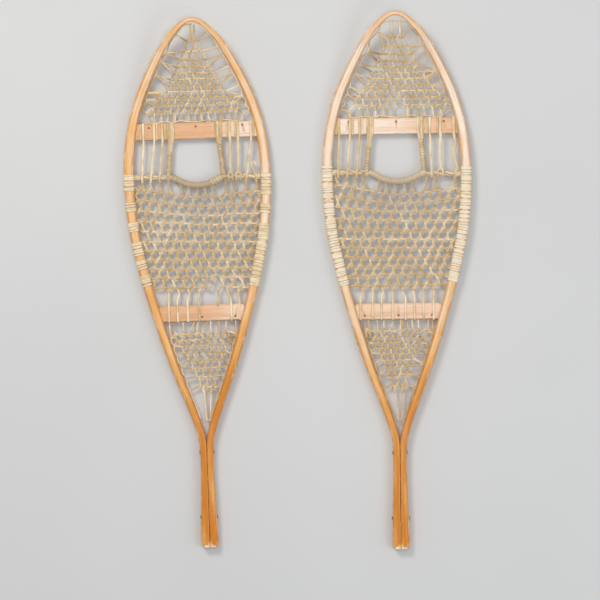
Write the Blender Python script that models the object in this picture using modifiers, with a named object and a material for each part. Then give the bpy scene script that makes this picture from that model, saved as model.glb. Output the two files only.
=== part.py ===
"""A pair of bent-ash snowshoes with rawhide lacing, lying flat side by side with their toes towards +Y.

Units are metres and +Z is up. The ground is z = 0, and the origin is under the middle of the pair's box.
Each shoe is drawn with its toe tip at y = 0 and its tail towards -Y, then placed by an empty of its own.
A "distance" below is always measured back from the toe tip of the shoe being drawn.
"""

import math

import bmesh
import bpy
import numpy as np
from mathutils import Vector

# Frame bow: one ash stave, bent round the toe, with its two ends side by side in the tail.
OUTLINE = (  # outer half width, distance
    (0.0, 0.0),
    (0.0525, 0.032),
    (0.0910, 0.087),
    (0.1325, 0.170),
    (0.1580, 0.253),
    (0.1688, 0.350),
    (0.1620, 0.478),
    (0.1409, 0.585),
    (0.1105, 0.695),
    (0.0746, 0.806),
    (0.0336, 0.916),
    (0.0174, 0.971),
    (0.0146, 1.027),
    (0.0165, 1.110),
    (0.0190, 1.212),
    (0.0140, 1.219),
)
OUTLINE_STEPS = 4  # sections to each stretch of the outline
RAIL_WIDTHS = (  # by distance; wider than half the tail there, so that the two ends meet
    (0.0, 0.010),
    (0.06, 0.016),
    (0.15, 0.0195),
    (0.30, 0.0225),
    (0.56, 0.022),
    (0.80, 0.018),
    (0.97, 0.016),
    (1.20, 0.022),
)
RAIL_HEIGHTS = ((0.0, 0.014), (0.28, 0.024), (0.80, 0.024), (1.219, 0.020))
RAIL_ROUNDING = 0.0045
CORNER_STEPS = 2
TOE_LIFT = 0.055  # how far the toe tip turns up
UPTURN_LENGTH = 0.250  # the upturn ends here, measured back from the toe tip

# Crossbars, mortised into the rails
BAR_WIDTH = 0.037
BAR_THICKNESS = 0.011
BAR_ROUNDING = 0.002
FRONT_BAR = 0.259  # distance of its middle
REAR_BAR = 0.679
TENON_WIDTH = 0.026
TENON_LENGTH = 0.012
TENON_TAPER = 0.0005  # each side of the tenon draws in this much towards its tip
LANYARD_HOLE = 0.006  # diameter
FRONT_HOLES = (-0.108, 0.0, 0.108)
REAR_HOLES = (-0.0765, 0.0, 0.0765)
HOLE_MARGIN = 0.009  # hole centres from the bar's laced edge

# Tail rivets, which hold the two ends of the bow together
RIVETS = {"tail_rivet_front": 1.000, "tail_rivet_rear": 1.149}
RIVET_SHANK = 0.0045  # diameter
RIVET_HEAD = 0.009
RIVET_HEAD_HEIGHT = 0.0018

# Rawhide
SHEET_THICKNESS = 0.003
STRAND_WIDTH = 0.0045
STRAND_THICKNESS = 0.002
LANYARD = 0.005  # diameter
TOE_LANYARD_BOW = 0.012  # how far it stands off the rail halfway between two of its holes
TOE_LANYARD_BAYS = 4  # stretches between holes, on each rail
TOE_LACING_FRONT = 0.040
TOE_CORD = 0.366  # distance of its straight stretches
TOE_CORD_SAG = 0.019  # how much further back its middle is
TOE_CORD_THICKNESS = 0.0115
TOE_HOLE_HALF_WIDTH = 0.056
SIDE_CORD_AT = 0.060
SIDE_CORD_WIDTH = 0.0085
FRONT_STRANDS = (0.081, 0.101, 0.125)  # from the axis, on each side
BODY_LACING_REAR = 0.619
REAR_STRANDS = 8
REAR_STRAND_PITCH = 0.023
HEEL_LACING_REAR = 0.895
HEEL_POINT = 0.928
WRAPS = ((0.359, 0.400), (0.428, 0.450), (0.470, 0.490), (0.520, 0.545), (0.590, 0.618))  # along each rail
SHEET_INSET = 0.0030  # from the rail's inner face to the body lacing's edge

GAP = 0.0003  # between pieces that touch
RAIL_BOTTOM = STRAND_THICKNESS + GAP  # the rails stand on their rawhide wraps
WRAP_SECTIONS = 4
MERGE = 0.00005

# The pair: size factor, toe tip, and turn about +Z
SHOES = {
    "left": (1.0, (-0.2455, 0.6038), math.radians(2.0)),
    "right": (1.015, (0.2220, 0.6186), math.radians(0.68)),
}

COLOURS = {  # colour, roughness, metallic
    "ash": ((0.72, 0.45, 0.22, 1), 0.35, 0),
    "rawhide": ((0.78, 0.62, 0.36, 1), 0.55, 0),
    "copper": ((0.70, 0.38, 0.22, 1), 0.40, 1),
}


# ---------------------------------------------------------------- the shoe's curves


def along(stations, distance):
    """The value at a distance, read from a list of (distance, value)."""
    places, values = zip(*stations)
    return float(np.interp(distance, places, values))


def smooth_curve(points, steps):
    """Points along a smooth curve through the given ones, which starts square to the shoe's axis."""
    knots = [Vector(p) for p in points]
    before = Vector((-knots[1].x, knots[1].y))
    knots = [before, *knots, knots[-1] * 2 - knots[-2]]
    curve = []
    for a, b, c, d in zip(knots, knots[1:], knots[2:], knots[3:]):
        reach = (c - b).length / 3
        leave = b + (c - a).normalized() * reach
        arrive = c - (d - b).normalized() * reach
        for step in range(steps):
            t = step / steps
            s = 1 - t
            curve.append(b * s**3 + leave * 3 * t * s**2 + arrive * 3 * t**2 * s + c * t**3)
    return [*curve, knots[-2]]


def rail_edges():
    """The outer and inner edges of the +X rail, as (x, distance) in step with each other."""
    outer = smooth_curve(OUTLINE, OUTLINE_STEPS)
    inner = []
    for i, here in enumerate(outer):
        ahead = outer[min(i + 1, len(outer) - 1)]
        behind = outer[i - 1] if i else Vector((-outer[1].x, outer[1].y))
        run = (ahead - behind).normalized()
        edge = here + Vector((-run.y, run.x)) * along(RAIL_WIDTHS, here.y)
        if i and edge.x < GAP / 2:  # in the tail the two rails lie against each other
            edge = Vector((GAP / 2, here.y))
        inner.append(edge)
    return outer, inner


OUTER_EDGE, INNER_EDGE = rail_edges()


def inner_half_width(distance):
    """Half the clear width between the rails."""
    return float(np.interp(distance, [p.y for p in INNER_EDGE], [p.x for p in INNER_EDGE]))


def outer_half_width(distance):
    return float(np.interp(distance, [p.y for p in OUTER_EDGE], [p.x for p in OUTER_EDGE]))


def lift(distance):
    """How far the toe's upturn raises the shoe."""
    return TOE_LIFT * max(0.0, 1 - distance / UPTURN_LENGTH) ** 2


def middle_height(distance):
    """Height of the rails' middle, where the bars and the lacing lie."""
    return RAIL_BOTTOM + along(RAIL_HEIGHTS, distance) / 2 + lift(distance)


BAR_HEIGHT = middle_height(FRONT_BAR + BAR_WIDTH)


def rail_section(outer, inner, grow=0.0):
    """A rounded rectangle across the rail between two points of its edges, grown outwards all round."""
    across = inner - outer
    width = across.length + 2 * grow
    height = along(RAIL_HEIGHTS, outer.y) + 2 * grow
    radius = min(RAIL_ROUNDING, across.length * 0.35) + grow
    start = outer - across.normalized() * grow
    ring = []
    right, top = width - radius, height - radius
    for corner, (u, v) in enumerate(((right, top), (radius, top), (radius, radius), (right, radius))):
        for step in range(CORNER_STEPS + 1):
            angle = math.pi / 2 * (corner + step / CORNER_STEPS)
            place = start + across.normalized() * (u + radius * math.cos(angle))
            bottom = RAIL_BOTTOM - grow + lift(max(outer.y, 0))
            ring.append(Vector((place.x, -place.y, bottom + v + radius * math.sin(angle))))
    return ring


def edges_at(distance):
    """The outer and inner points of the rail's section whose outer edge is at a distance."""
    places = [p.y for p in OUTER_EDGE]
    found = []
    for edge in (OUTER_EDGE, INNER_EDGE):
        x = np.interp(distance, places, [p.x for p in edge])
        y = np.interp(distance, places, [p.y for p in edge])
        found.append(Vector((x, y)))
    return found


# ---------------------------------------------------------------- modelling helpers


def material(name):
    colour, roughness, metallic = COLOURS[name]
    made = bpy.data.materials.new(name)
    made.use_nodes = True
    shader = made.node_tree.nodes["Principled BSDF"]
    shader.inputs["Base Color"].default_value = colour
    shader.inputs["Roughness"].default_value = roughness
    shader.inputs["Metallic"].default_value = metallic
    return made


def add_object(shoe, name, data, finish):
    """Puts a piece in the shoe, with a material of its own."""
    data.materials.append(material(finish))
    piece = bpy.data.objects.new(f"{shoe['side']}_{name}", data)
    piece.parent = shoe["empty"]
    shoe["parts"].objects.link(piece)
    return piece


def loft(name, rings, caps):
    """A skin over rings of points with equal counts, capped at the named ends."""
    mesh = bpy.data.meshes.new(name)
    shape = bmesh.new()
    rows = [[shape.verts.new(p) for p in ring] for ring in rings]
    for near, far in zip(rows, rows[1:]):
        for i in range(len(near)):
            j = (i + 1) % len(near)
            shape.faces.new((near[i], near[j], far[j], far[i]))
    if "start" in caps:
        shape.faces.new(rows[0])
    if "end" in caps:
        shape.faces.new(rows[-1])
    bmesh.ops.recalc_face_normals(shape, faces=shape.faces)
    shape.to_mesh(mesh)
    shape.free()
    mesh.shade_smooth()
    mesh.set_sharp_from_angle(angle=math.radians(35))
    return mesh


def flat_outline(name, loops, thickness, rounding=0.0):
    """A flat shape in the XY plane with its holes, given a thickness and rounded edges."""
    curve = bpy.data.curves.new(name, "CURVE")
    curve.dimensions = "2D"
    curve.fill_mode = "BOTH"
    curve.extrude = thickness / 2 - rounding
    curve.bevel_depth = rounding
    curve.bevel_resolution = 1
    curve.offset = -rounding
    for loop in loops:
        spline = curve.splines.new("POLY")
        spline.points.add(len(loop) - 1)
        for point, (x, y) in zip(spline.points, loop):
            point.co = (x, y, 0, 1)
        spline.use_cyclic_u = True
    return curve


def tube(name, path, diameter, closed):
    """A cord along a path, eight-sided with one flat side up."""
    curve = bpy.data.curves.new(name, "CURVE")
    curve.dimensions = "3D"
    curve.bevel_depth = diameter / 2
    curve.bevel_resolution = 2
    curve.use_fill_caps = True
    curve.twist_mode = "Z_UP"
    spline = curve.splines.new("POLY")
    spline.points.add(len(path) - 1)
    for point, place in zip(spline.points, path):
        point.co = (*place, 1)
        point.tilt = math.pi / 8
    spline.use_cyclic_u = closed
    return curve


def as_mesh(shoe, piece):
    """Turns a curve piece into a welded mesh piece that can be cut."""
    solid = bpy.data.meshes.new_from_object(piece.evaluated_get(bpy.context.evaluated_depsgraph_get()))
    shape = bmesh.new()
    shape.from_mesh(solid)
    bmesh.ops.remove_doubles(shape, verts=shape.verts, dist=MERGE)
    bmesh.ops.recalc_face_normals(shape, faces=shape.faces)
    shape.to_mesh(solid)
    shape.free()
    name = piece.name
    place = piece.matrix_local.copy()
    bpy.data.objects.remove(piece)
    made = bpy.data.objects.new(name, solid)
    made.parent = shoe["empty"]
    made.matrix_local = place
    shoe["parts"].objects.link(made)
    return made


def cutter(shoe, size, location):
    """A box that cuts away wood."""
    mesh = bpy.data.meshes.new("cutter")
    shape = bmesh.new()
    bmesh.ops.create_cube(shape, size=1)
    bmesh.ops.scale(shape, vec=size, verts=shape.verts)
    shape.to_mesh(mesh)
    shape.free()
    return add_cutter(shoe, mesh, location)


def round_cutter(shoe, diameter, length, location, turn=(0, 0, 0)):
    """A drill along Z, or along another axis when turned."""
    mesh = bpy.data.meshes.new("drill")
    shape = bmesh.new()
    bmesh.ops.create_cone(
        shape, cap_ends=True, segments=12, radius1=diameter / 2, radius2=diameter / 2, depth=length
    )
    shape.to_mesh(mesh)
    shape.free()
    made = add_cutter(shoe, mesh, location)
    made.rotation_euler = turn
    return made


def add_cutter(shoe, mesh, location):
    made = bpy.data.objects.new(mesh.name, mesh)
    made.location = location
    made.parent = shoe["empty"]
    made.hide_render = True
    made.display_type = "WIRE"
    shoe["cutters"].objects.link(made)
    return made


def boolean(piece, other, operation):
    change = piece.modifiers.new(operation.lower(), "BOOLEAN")
    change.operation = operation
    change.object = other
    change.solver = "EXACT"


# ---------------------------------------------------------------- wood and metal


def add_frame(shoe):
    """The bow, with mortises for both bars and holes for the rivets."""
    rings = [rail_section(outer, inner) for outer, inner in zip(OUTER_EDGE, INNER_EDGE)]
    frame = add_object(shoe, "frame", loft("frame", rings, caps=("end",)), "ash")
    mirror = frame.modifiers.new("other_rail", "MIRROR")
    mirror.merge_threshold = MERGE
    depth = TENON_LENGTH + GAP
    for bar in (FRONT_BAR, REAR_BAR):
        shoulder = inner_half_width(bar)
        for side in (-1, 1):
            size = (2 * depth, TENON_WIDTH + 2 * GAP, BAR_THICKNESS + 2 * GAP)
            boolean(frame, cutter(shoe, size, (side * shoulder, -bar, BAR_HEIGHT)), "DIFFERENCE")
    for distance in RIVETS.values():
        drill = round_cutter(
            shoe,
            RIVET_SHANK + 2 * GAP,
            4 * outer_half_width(distance),
            (0, -distance, middle_height(distance)),
            (0, math.pi / 2, 0),
        )
        boolean(frame, drill, "DIFFERENCE")


def add_crossbar(shoe, name, bar, holes, laced_edge):
    """A bar whose shoulders follow the rails, with a tenon at each end and its lanyard holes."""
    half = []
    for edge in (bar - BAR_WIDTH / 2, bar - TENON_WIDTH / 2):
        half.append((inner_half_width(edge) - 2 * GAP, -edge))
    tip = inner_half_width(bar) + TENON_LENGTH
    half.append((tip, -bar + TENON_WIDTH / 2 - TENON_TAPER))
    half.append((tip, -bar - TENON_WIDTH / 2 + TENON_TAPER))
    for edge in (bar + TENON_WIDTH / 2, bar + BAR_WIDTH / 2):
        half.append((inner_half_width(edge) - 2 * GAP, -edge))
    outline = half + [(-x, y) for x, y in reversed(half)]
    piece = add_object(shoe, name, flat_outline(name, [outline], BAR_THICKNESS, BAR_ROUNDING), "ash")
    piece.location = (0, 0, BAR_HEIGHT)
    piece = as_mesh(shoe, piece)
    row = bar + laced_edge * (BAR_WIDTH / 2 - HOLE_MARGIN)
    for x in holes:
        drill = round_cutter(shoe, LANYARD_HOLE, 2 * BAR_THICKNESS, (x, -row, BAR_HEIGHT))
        boolean(piece, drill, "DIFFERENCE")


def add_rivet(shoe, name, distance):
    """A shank across both rails with a domed head on each side, turned about its own axis."""
    reach = outer_half_width(distance) + 2 * GAP
    profile = (
        (0, reach + RIVET_HEAD_HEIGHT),
        (RIVET_HEAD * 0.3, reach + RIVET_HEAD_HEIGHT),
        (RIVET_HEAD / 2, reach + RIVET_HEAD_HEIGHT * 0.4),
        (RIVET_HEAD / 2, reach),
        (RIVET_SHANK / 2, reach),
    )
    points = [*profile, *((radius, -z) for radius, z in reversed(profile))]
    mesh = bpy.data.meshes.new(name)
    edges = [(i, i + 1) for i in range(len(points) - 1)]
    mesh.from_pydata([(radius, 0, z) for radius, z in points], edges, [])
    piece = add_object(shoe, name, mesh, "copper")
    screw = piece.modifiers.new("turned", "SCREW")
    screw.steps = screw.render_steps = 12
    screw.use_merge_vertices = True
    screw.merge_threshold = MERGE
    piece.rotation_euler = (0, math.pi / 2, 0)
    piece.location = (0, -distance, middle_height(distance))


# ---------------------------------------------------------------- rawhide


def toe_cord_line(x, offset=0.0):
    """Distance of the toe cord at x: straight beside the toe hole, sagging across it."""
    inside = max(0.0, 1 - (x / TOE_HOLE_HALF_WIDTH) ** 2)
    return TOE_CORD + TOE_CORD_SAG * inside + offset


def add_toe_lanyard(shoe):
    """The cord that holds the toe lacing: round inside the toe and back along the front bar."""
    clear = LANYARD / 2 + 4 * GAP
    rear = FRONT_BAR - BAR_WIDTH / 2 - clear
    front = along(RAIL_WIDTHS, 0) + clear
    side = []
    steps = 4 * TOE_LANYARD_BAYS
    for step in range(1, steps + 1):
        part = step / steps
        distance = front + (rear - front) * part**1.5
        bow = TOE_LANYARD_BOW * math.sin(math.pi * TOE_LANYARD_BAYS * part) ** 2
        side.append((max(inner_half_width(distance) - clear - bow, 0), distance))
    loop = [*reversed([(-x, y) for x, y in side]), (0, front), *side]
    path = [Vector((x, -y, middle_height(y))) for x, y in loop]
    add_object(shoe, "toe_lanyard", tube("toe_lanyard", path, LANYARD, closed=True), "rawhide")


def add_heel_lanyard(shoe):
    """The cord that holds the heel lacing: down both rails to a point, and back along the rear bar."""
    clear = LANYARD / 2 + 4 * GAP
    front = REAR_BAR + BAR_WIDTH / 2 + clear
    rear = HEEL_POINT - 2 * LANYARD
    side = []
    for distance in np.linspace(front, rear, 7):
        side.append((inner_half_width(distance) - clear, float(distance)))
    loop = [*[(-x, y) for x, y in side], (0, HEEL_POINT), *reversed(side)]
    path = [Vector((x, -y, middle_height(y))) for x, y in loop]
    add_object(shoe, "heel_lanyard", tube("heel_lanyard", path, LANYARD, closed=True), "rawhide")


def add_sheet(shoe, name, front, rear, half_width, columns, rows):
    """A panel of lacing between two lines across the shoe, bent with the toe's upturn."""
    mesh = bpy.data.meshes.new(name)
    shape = bmesh.new()
    bmesh.ops.create_grid(shape, x_segments=columns, y_segments=rows, size=1)
    for vert in shape.verts:
        u = vert.co.x
        part = (1 - vert.co.y) / 2
        edge = front(u * half_width(front(0)))
        distance = edge + (rear - edge) * part
        vert.co = (u * half_width(distance), -distance, middle_height(distance))
    shape.to_mesh(mesh)
    shape.free()
    piece = add_object(shoe, name, mesh, "rawhide")
    thicken = piece.modifiers.new("thickness", "SOLIDIFY")
    thicken.thickness = SHEET_THICKNESS
    thicken.offset = 0
    return piece


def add_toe_cord(shoe):
    """The thick cord behind the toe hole, which carries the binding."""
    reach = inner_half_width(TOE_CORD) - STRAND_THICKNESS - 3 * GAP
    corner = TOE_HOLE_HALF_WIDTH
    places = [-reach, -corner, *np.linspace(-corner, corner, 11)[1:-1], corner, reach]
    path = [Vector((x, -toe_cord_line(x), BAR_HEIGHT)) for x in places]
    add_object(shoe, "toe_cord", tube("toe_cord", path, TOE_CORD_THICKNESS, closed=False), "rawhide")


def add_bar_loop(shoe, name, x, bar, end, width, thickness):
    """A strand looped round a bar at x, whose free stretch runs along the shoe to a distance."""
    half_y = BAR_WIDTH / 2 + GAP
    half_z = BAR_THICKNESS / 2 + GAP
    skin = STRAND_THICKNESS
    turn = skin / 2  # the loop's outer corners are cut by this much
    hole = ((-half_y, -half_z), (half_y, -half_z), (half_y, half_z), (-half_y, half_z))
    loop = (
        (-half_y - skin, -half_z - turn),
        (-half_y - turn, -half_z - skin),
        (half_y + turn, -half_z - skin),
        (half_y + skin, -half_z - turn),
        (half_y + skin, -thickness / 2),
        (abs(end - bar), -thickness / 2),
        (abs(end - bar), thickness / 2),
        (half_y + skin, thickness / 2),
        (half_y + skin, half_z + turn),
        (half_y + turn, half_z + skin),
        (-half_y - turn, half_z + skin),
        (-half_y - skin, half_z + turn),
    )
    towards_tail = 1 if end > bar else -1
    piece = add_object(shoe, name, flat_outline(name, (loop, hole), width), "rawhide")
    piece.rotation_euler = (math.pi / 2, 0, -towards_tail * math.pi / 2)
    piece.location = (x, -bar, BAR_HEIGHT)
    return piece


def add_body_lacing(shoe):
    """The foot's panel of lacing, with the strands that tie it back round the rear bar."""
    behind_cord = TOE_CORD_THICKNESS / 2 + 2 * GAP
    piece = add_sheet(
        shoe,
        "body_lacing",
        lambda x: toe_cord_line(x, behind_cord),
        BODY_LACING_REAR,
        lambda distance: inner_half_width(distance) - SHEET_INSET,
        columns=24,
        rows=5,
    )
    end = BODY_LACING_REAR - STRAND_WIDTH  # inside the panel
    for number in range(REAR_STRANDS):
        x = (number - (REAR_STRANDS - 1) / 2) * REAR_STRAND_PITCH
        name = f"rear_strand_{number + 1}"
        strand = add_bar_loop(shoe, name, x, REAR_BAR, end, STRAND_WIDTH, STRAND_THICKNESS)
        strand = as_mesh(shoe, strand)
        shoe["parts"].objects.unlink(strand)
        shoe["cutters"].objects.link(strand)
        strand.hide_render = True
        strand.display_type = "WIRE"
        boolean(piece, strand, "UNION")


def add_front_strands(shoe):
    """Strands from the front bar to the toe cord, the two thickest beside the toe hole."""
    for side, x_sign in (("left", -1), ("right", 1)):
        for number, x in enumerate(FRONT_STRANDS, start=1):
            end = TOE_CORD - TOE_CORD_THICKNESS / 2 - 2 * GAP
            name = f"front_strand_{side}_{number}"
            add_bar_loop(shoe, name, x_sign * x, FRONT_BAR, end, STRAND_WIDTH, STRAND_THICKNESS)
        name = f"toe_hole_cord_{side}"
        add_bar_loop(shoe, name, x_sign * SIDE_CORD_AT, FRONT_BAR, end, SIDE_CORD_WIDTH, SIDE_CORD_WIDTH)


def add_wraps(shoe):
    """Turns of rawhide round each rail, which tie the body lacing to it."""
    for side, x_sign in (("left", -1), ("right", 1)):
        for number, (start, end) in enumerate(WRAPS, start=1):
            rings = []
            for distance in np.linspace(start, end, WRAP_SECTIONS):
                ring = rail_section(*edges_at(float(distance)), grow=GAP)
                rings.append([Vector((x_sign * p.x, p.y, p.z)) for p in ring])
            name = f"rail_wrap_{side}_{number}"
            piece = add_object(shoe, name, loft(name, rings, caps=()), "rawhide")
            thicken = piece.modifiers.new("thickness", "SOLIDIFY")
            thicken.thickness = STRAND_THICKNESS
            thicken.offset = 1
            thicken.use_even_offset = True


# ---------------------------------------------------------------- the pair


def build_shoe(side, parts, cutters):
    size, toe_tip, turn = SHOES[side]
    empty = bpy.data.objects.new(f"{side}_snowshoe", None)
    empty.location = (*toe_tip, 0)
    empty.rotation_euler = (0, 0, turn)
    empty.scale = (size, size, size)
    parts.objects.link(empty)
    shoe = {"side": side, "empty": empty, "parts": parts, "cutters": cutters}
    add_frame(shoe)
    add_crossbar(shoe, "front_crossbar", FRONT_BAR, FRONT_HOLES, laced_edge=-1)
    add_crossbar(shoe, "rear_crossbar", REAR_BAR, REAR_HOLES, laced_edge=1)
    for name, distance in RIVETS.items():
        add_rivet(shoe, name, distance)
    add_toe_lanyard(shoe)
    beside_lanyard = LANYARD + 6 * GAP
    add_sheet(
        shoe,
        "toe_lacing",
        lambda x: TOE_LACING_FRONT,
        FRONT_BAR - BAR_WIDTH / 2 - beside_lanyard,
        lambda distance: inner_half_width(distance) - beside_lanyard - TOE_LANYARD_BOW,
        columns=4,
        rows=6,
    )
    add_toe_cord(shoe)
    add_front_strands(shoe)
    add_body_lacing(shoe)
    add_wraps(shoe)
    add_heel_lanyard(shoe)
    add_sheet(
        shoe,
        "heel_lacing",
        lambda x: REAR_BAR + BAR_WIDTH / 2 + beside_lanyard,
        HEEL_LACING_REAR,
        lambda distance: inner_half_width(distance) - beside_lanyard,
        columns=2,
        rows=6,
    )
    return empty


def centre_pair(parts, shoes):
    """Moves both shoes so that the pair's box stands centred on the origin."""
    depsgraph = bpy.context.evaluated_depsgraph_get()
    points = []
    for piece in parts.objects:
        if piece.type != "EMPTY":
            solid = piece.evaluated_get(depsgraph)
            points += [solid.matrix_world @ vertex.co for vertex in solid.to_mesh().vertices]
            solid.to_mesh_clear()
    low = Vector(np.min(points, axis=0))
    high = Vector(np.max(points, axis=0))
    middle = (low + high) / 2
    for empty in shoes:
        empty.location -= Vector((middle.x, middle.y, low.z))


def main():
    for old in list(bpy.data.objects):
        bpy.data.objects.remove(old)
    parts = bpy.data.collections.new("snowshoes")
    cutters = bpy.data.collections.new("cutters")
    for collection in (parts, cutters):
        bpy.context.scene.collection.children.link(collection)
    shoes = [build_shoe(side, parts, cutters) for side in SHOES]
    centre_pair(parts, shoes)


main()
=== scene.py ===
import math
import random

import bmesh
import bpy
import numpy as np
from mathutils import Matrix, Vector, noise


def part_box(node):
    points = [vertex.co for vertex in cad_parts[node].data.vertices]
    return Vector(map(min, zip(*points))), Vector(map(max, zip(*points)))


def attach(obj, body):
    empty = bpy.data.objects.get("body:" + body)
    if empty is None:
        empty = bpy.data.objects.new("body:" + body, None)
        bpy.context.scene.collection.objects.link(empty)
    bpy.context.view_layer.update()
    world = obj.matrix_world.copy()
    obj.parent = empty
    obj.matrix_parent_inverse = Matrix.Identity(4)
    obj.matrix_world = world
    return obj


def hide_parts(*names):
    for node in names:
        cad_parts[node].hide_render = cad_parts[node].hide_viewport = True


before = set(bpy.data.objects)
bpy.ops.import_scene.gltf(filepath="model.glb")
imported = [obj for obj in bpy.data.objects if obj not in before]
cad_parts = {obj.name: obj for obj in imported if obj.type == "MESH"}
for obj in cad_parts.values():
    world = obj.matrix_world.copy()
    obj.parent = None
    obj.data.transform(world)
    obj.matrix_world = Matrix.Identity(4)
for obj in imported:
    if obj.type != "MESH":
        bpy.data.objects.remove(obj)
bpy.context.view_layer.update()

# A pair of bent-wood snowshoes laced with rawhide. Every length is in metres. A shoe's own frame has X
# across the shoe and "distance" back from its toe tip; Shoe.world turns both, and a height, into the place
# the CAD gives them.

# Blender's vector noise takes its seed from the clock unless it is set, and would change in each run.
NOISE_SEED = 7
noise.seed_set(NOISE_SEED)

# The bow: its outer half width at each distance, and the rail's section at each distance.
OUTLINE = (
    (0.0, 0.0), (0.0525, 0.032), (0.091, 0.087), (0.1325, 0.17), (0.158, 0.253), (0.1688, 0.35),
    (0.162, 0.478), (0.1409, 0.585), (0.1105, 0.695), (0.0746, 0.806), (0.0336, 0.916), (0.0174, 0.971),
    (0.0146, 1.027), (0.0165, 1.11), (0.019, 1.212), (0.014, 1.219),
)
OUTLINE_STEPS = 14
RAIL_WIDTHS = (
    (0.0, 0.01), (0.06, 0.016), (0.15, 0.0195), (0.3, 0.0225), (0.56, 0.022), (0.8, 0.018), (0.97, 0.016),
    (1.2, 0.022),
)
RAIL_HEIGHTS = ((0.0, 0.014), (0.28, 0.024), (0.80, 0.024), (1.219, 0.020))
RAIL_BOTTOM = 0.0023
SEAM = 0.0003
TOE_LIFT = 0.055
UPTURN_LENGTH = 0.250

# The bow's section: its number of points, how square it is by distance, and how far the stave wanders.
BOW_POINTS = 28
BOW_POWERS = ((0.93, 0.50), (1.0, 0.26))
BOW_UNEVEN = 0.0005

# The crossbars: the section, the places along the shoe, the lanyard holes, the tenons in the rails and, at
# the rear bar, the rounded shoulder at each end.
BAR_WIDTH = 0.037
BAR_THICKNESS = 0.011
BAR_HEIGHT = 0.0143
BAR_ROUNDING = 0.0024
BARS = {"front": 0.259, "rear": 0.679}
BAR_HOLES = {"front": (-0.108, 0.0, 0.108), "rear": (-0.0765, 0.0, 0.0765)}
HOLE_MARGIN = 0.009
HOLE_RADIUS = 0.0024
HOLE_POINTS = 16
DRILL_HEIGHTS = (-0.02, 0.05)
BAR_RINGS = 81
BAR_CORNER_STEPS = 4
BAR_UNEVEN = 0.0006
TENON = 0.0025
SHOULDER_LENGTH = 0.14
SHOULDER_CUT = 0.011
HALF_BAR = BAR_WIDTH / 2
BAR_TOP = BAR_THICKNESS / 2

# The cords round the toe hole.
TOE_CORD = 0.366
TOE_CORD_SAG = 0.019
TOE_CORD_RADIUS = 0.0062
TOE_HOLE_HALF_WIDTH = 0.056

# Where the rivets lie along the tail.
RIVET_FRONT = 1.000
RIVET_REAR = 1.149

# Each weave's rows of holes: row number, distance, spacing of the holes along the row, half width of the
# weave. The body's first rows dip towards the tail at their ends by ARC_DIP, a table of row and dip.
BODY_ROWS = (
    (1, 0.3965, 0.02, 0.2), (1.5, 0.4138, 0.0211, 0.2), (2, 0.424, 0.0222, 0.2), (4, 0.4645, 0.022, 0.2),
    (6, 0.5055, 0.0211, 0.2), (7.5, 0.536, 0.0203, 0.2), (10, 0.5875, 0.0214, 0.2),
    (11, 0.608, 0.0228, 0.2), (11.5, 0.6205, 0.0229, 0.105), (12, 0.633, 0.023, 0.087),
)
TOE_ROWS = {
    "left": (
        (0.5, 0.0545, 0.017, 0.015), (1, 0.067, 0.0168, 0.02), (2, 0.088, 0.0166, 0.028),
        (3, 0.105, 0.0163, 0.036), (4, 0.12, 0.016, 0.043), (5, 0.1335, 0.0158, 0.049),
        (6, 0.1465, 0.0156, 0.056), (7, 0.161, 0.0152, 0.068), (8, 0.1755, 0.0149, 0.085),
        (9, 0.19, 0.0149, 0.096), (10, 0.204, 0.0151, 0.1), (11, 0.223, 0.0155, 0.1),
    ),
    "right": (
        (0, 0.05, 0.0195, 0.014), (1, 0.0685, 0.0182, 0.026), (2, 0.0883, 0.0189, 0.034),
        (3, 0.1052, 0.0199, 0.043), (4, 0.1197, 0.018, 0.048), (5, 0.1315, 0.0182, 0.054),
        (6, 0.1443, 0.0168, 0.062), (7, 0.1594, 0.0166, 0.071), (8, 0.1729, 0.0171, 0.086),
        (9, 0.1861, 0.018, 0.098), (10, 0.2011, 0.0185, 0.102), (11, 0.2219, 0.0185, 0.102),
    ),
}
HEEL_ROWS = {
    "left": (
        (0, 0.7205, 0.0156, 0.066), (1, 0.7343, 0.0158, 0.063), (2, 0.7472, 0.0165, 0.06),
        (3, 0.7632, 0.0164, 0.056), (4, 0.78, 0.0154, 0.049), (5, 0.7969, 0.0152, 0.043),
        (6, 0.8147, 0.0159, 0.036), (7, 0.8364, 0.0169, 0.029), (8, 0.8642, 0.019, 0.022),
    ),
    "right": (
        (-1, 0.7175, 0.014, 0.074), (0, 0.7306, 0.0138, 0.063), (1, 0.7448, 0.0137, 0.059),
        (2, 0.7579, 0.0136, 0.055), (3, 0.7697, 0.0135, 0.049), (4, 0.7822, 0.014, 0.042),
        (5, 0.7984, 0.0145, 0.036), (6, 0.8136, 0.0149, 0.03), (7, 0.8339, 0.0162, 0.025),
        (8, 0.8641, 0.019, 0.022),
    ),
}
ARC_DIP = ((1, 0.012), (1.5, 0.0168), (2, 0.015), (3, 0.01), (4, 0.006), (5, 0.003), (6, 0.001), (7, 0.0))
ARC_REACH = 0.140

# How near each weave comes to the rails, how far its places wander, and over what scale.
BODY_EDGE, BODY_UNEVEN = 0.0020, 0.0024
TOE_EDGE, TOE_UNEVEN = 0.0080, 0.0020
HEEL_EDGE, HEEL_UNEVEN = 0.0060, 0.0022
UNEVEN_SCALE = 24.0
UNEVEN_SEED = 5.7

# How far a cut end reaches to its tie, for strands across and slanted ones, and how far the ends spread
# there.
BODY_REACH = (0.030, 0.030, 0.0055)
TOE_REACH = (0.050, 0.028, 0.0018)
HEEL_REACH = (0.042, 0.024, 0.0018)

# The rows at which the body weave is tied round the rails, how far inside the rail, and a hole pushed wide:
# its X on the left shoe, distance, reach and push.
BODY_TIE_ROWS = (1.4, 3, 5, 7, 8.5, 9.5, 10.5, 11.5)
BODY_TIE_INSET = -0.0015
BODY_BULGE = (0.030, 0.600, 0.022, 0.0035)

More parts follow.
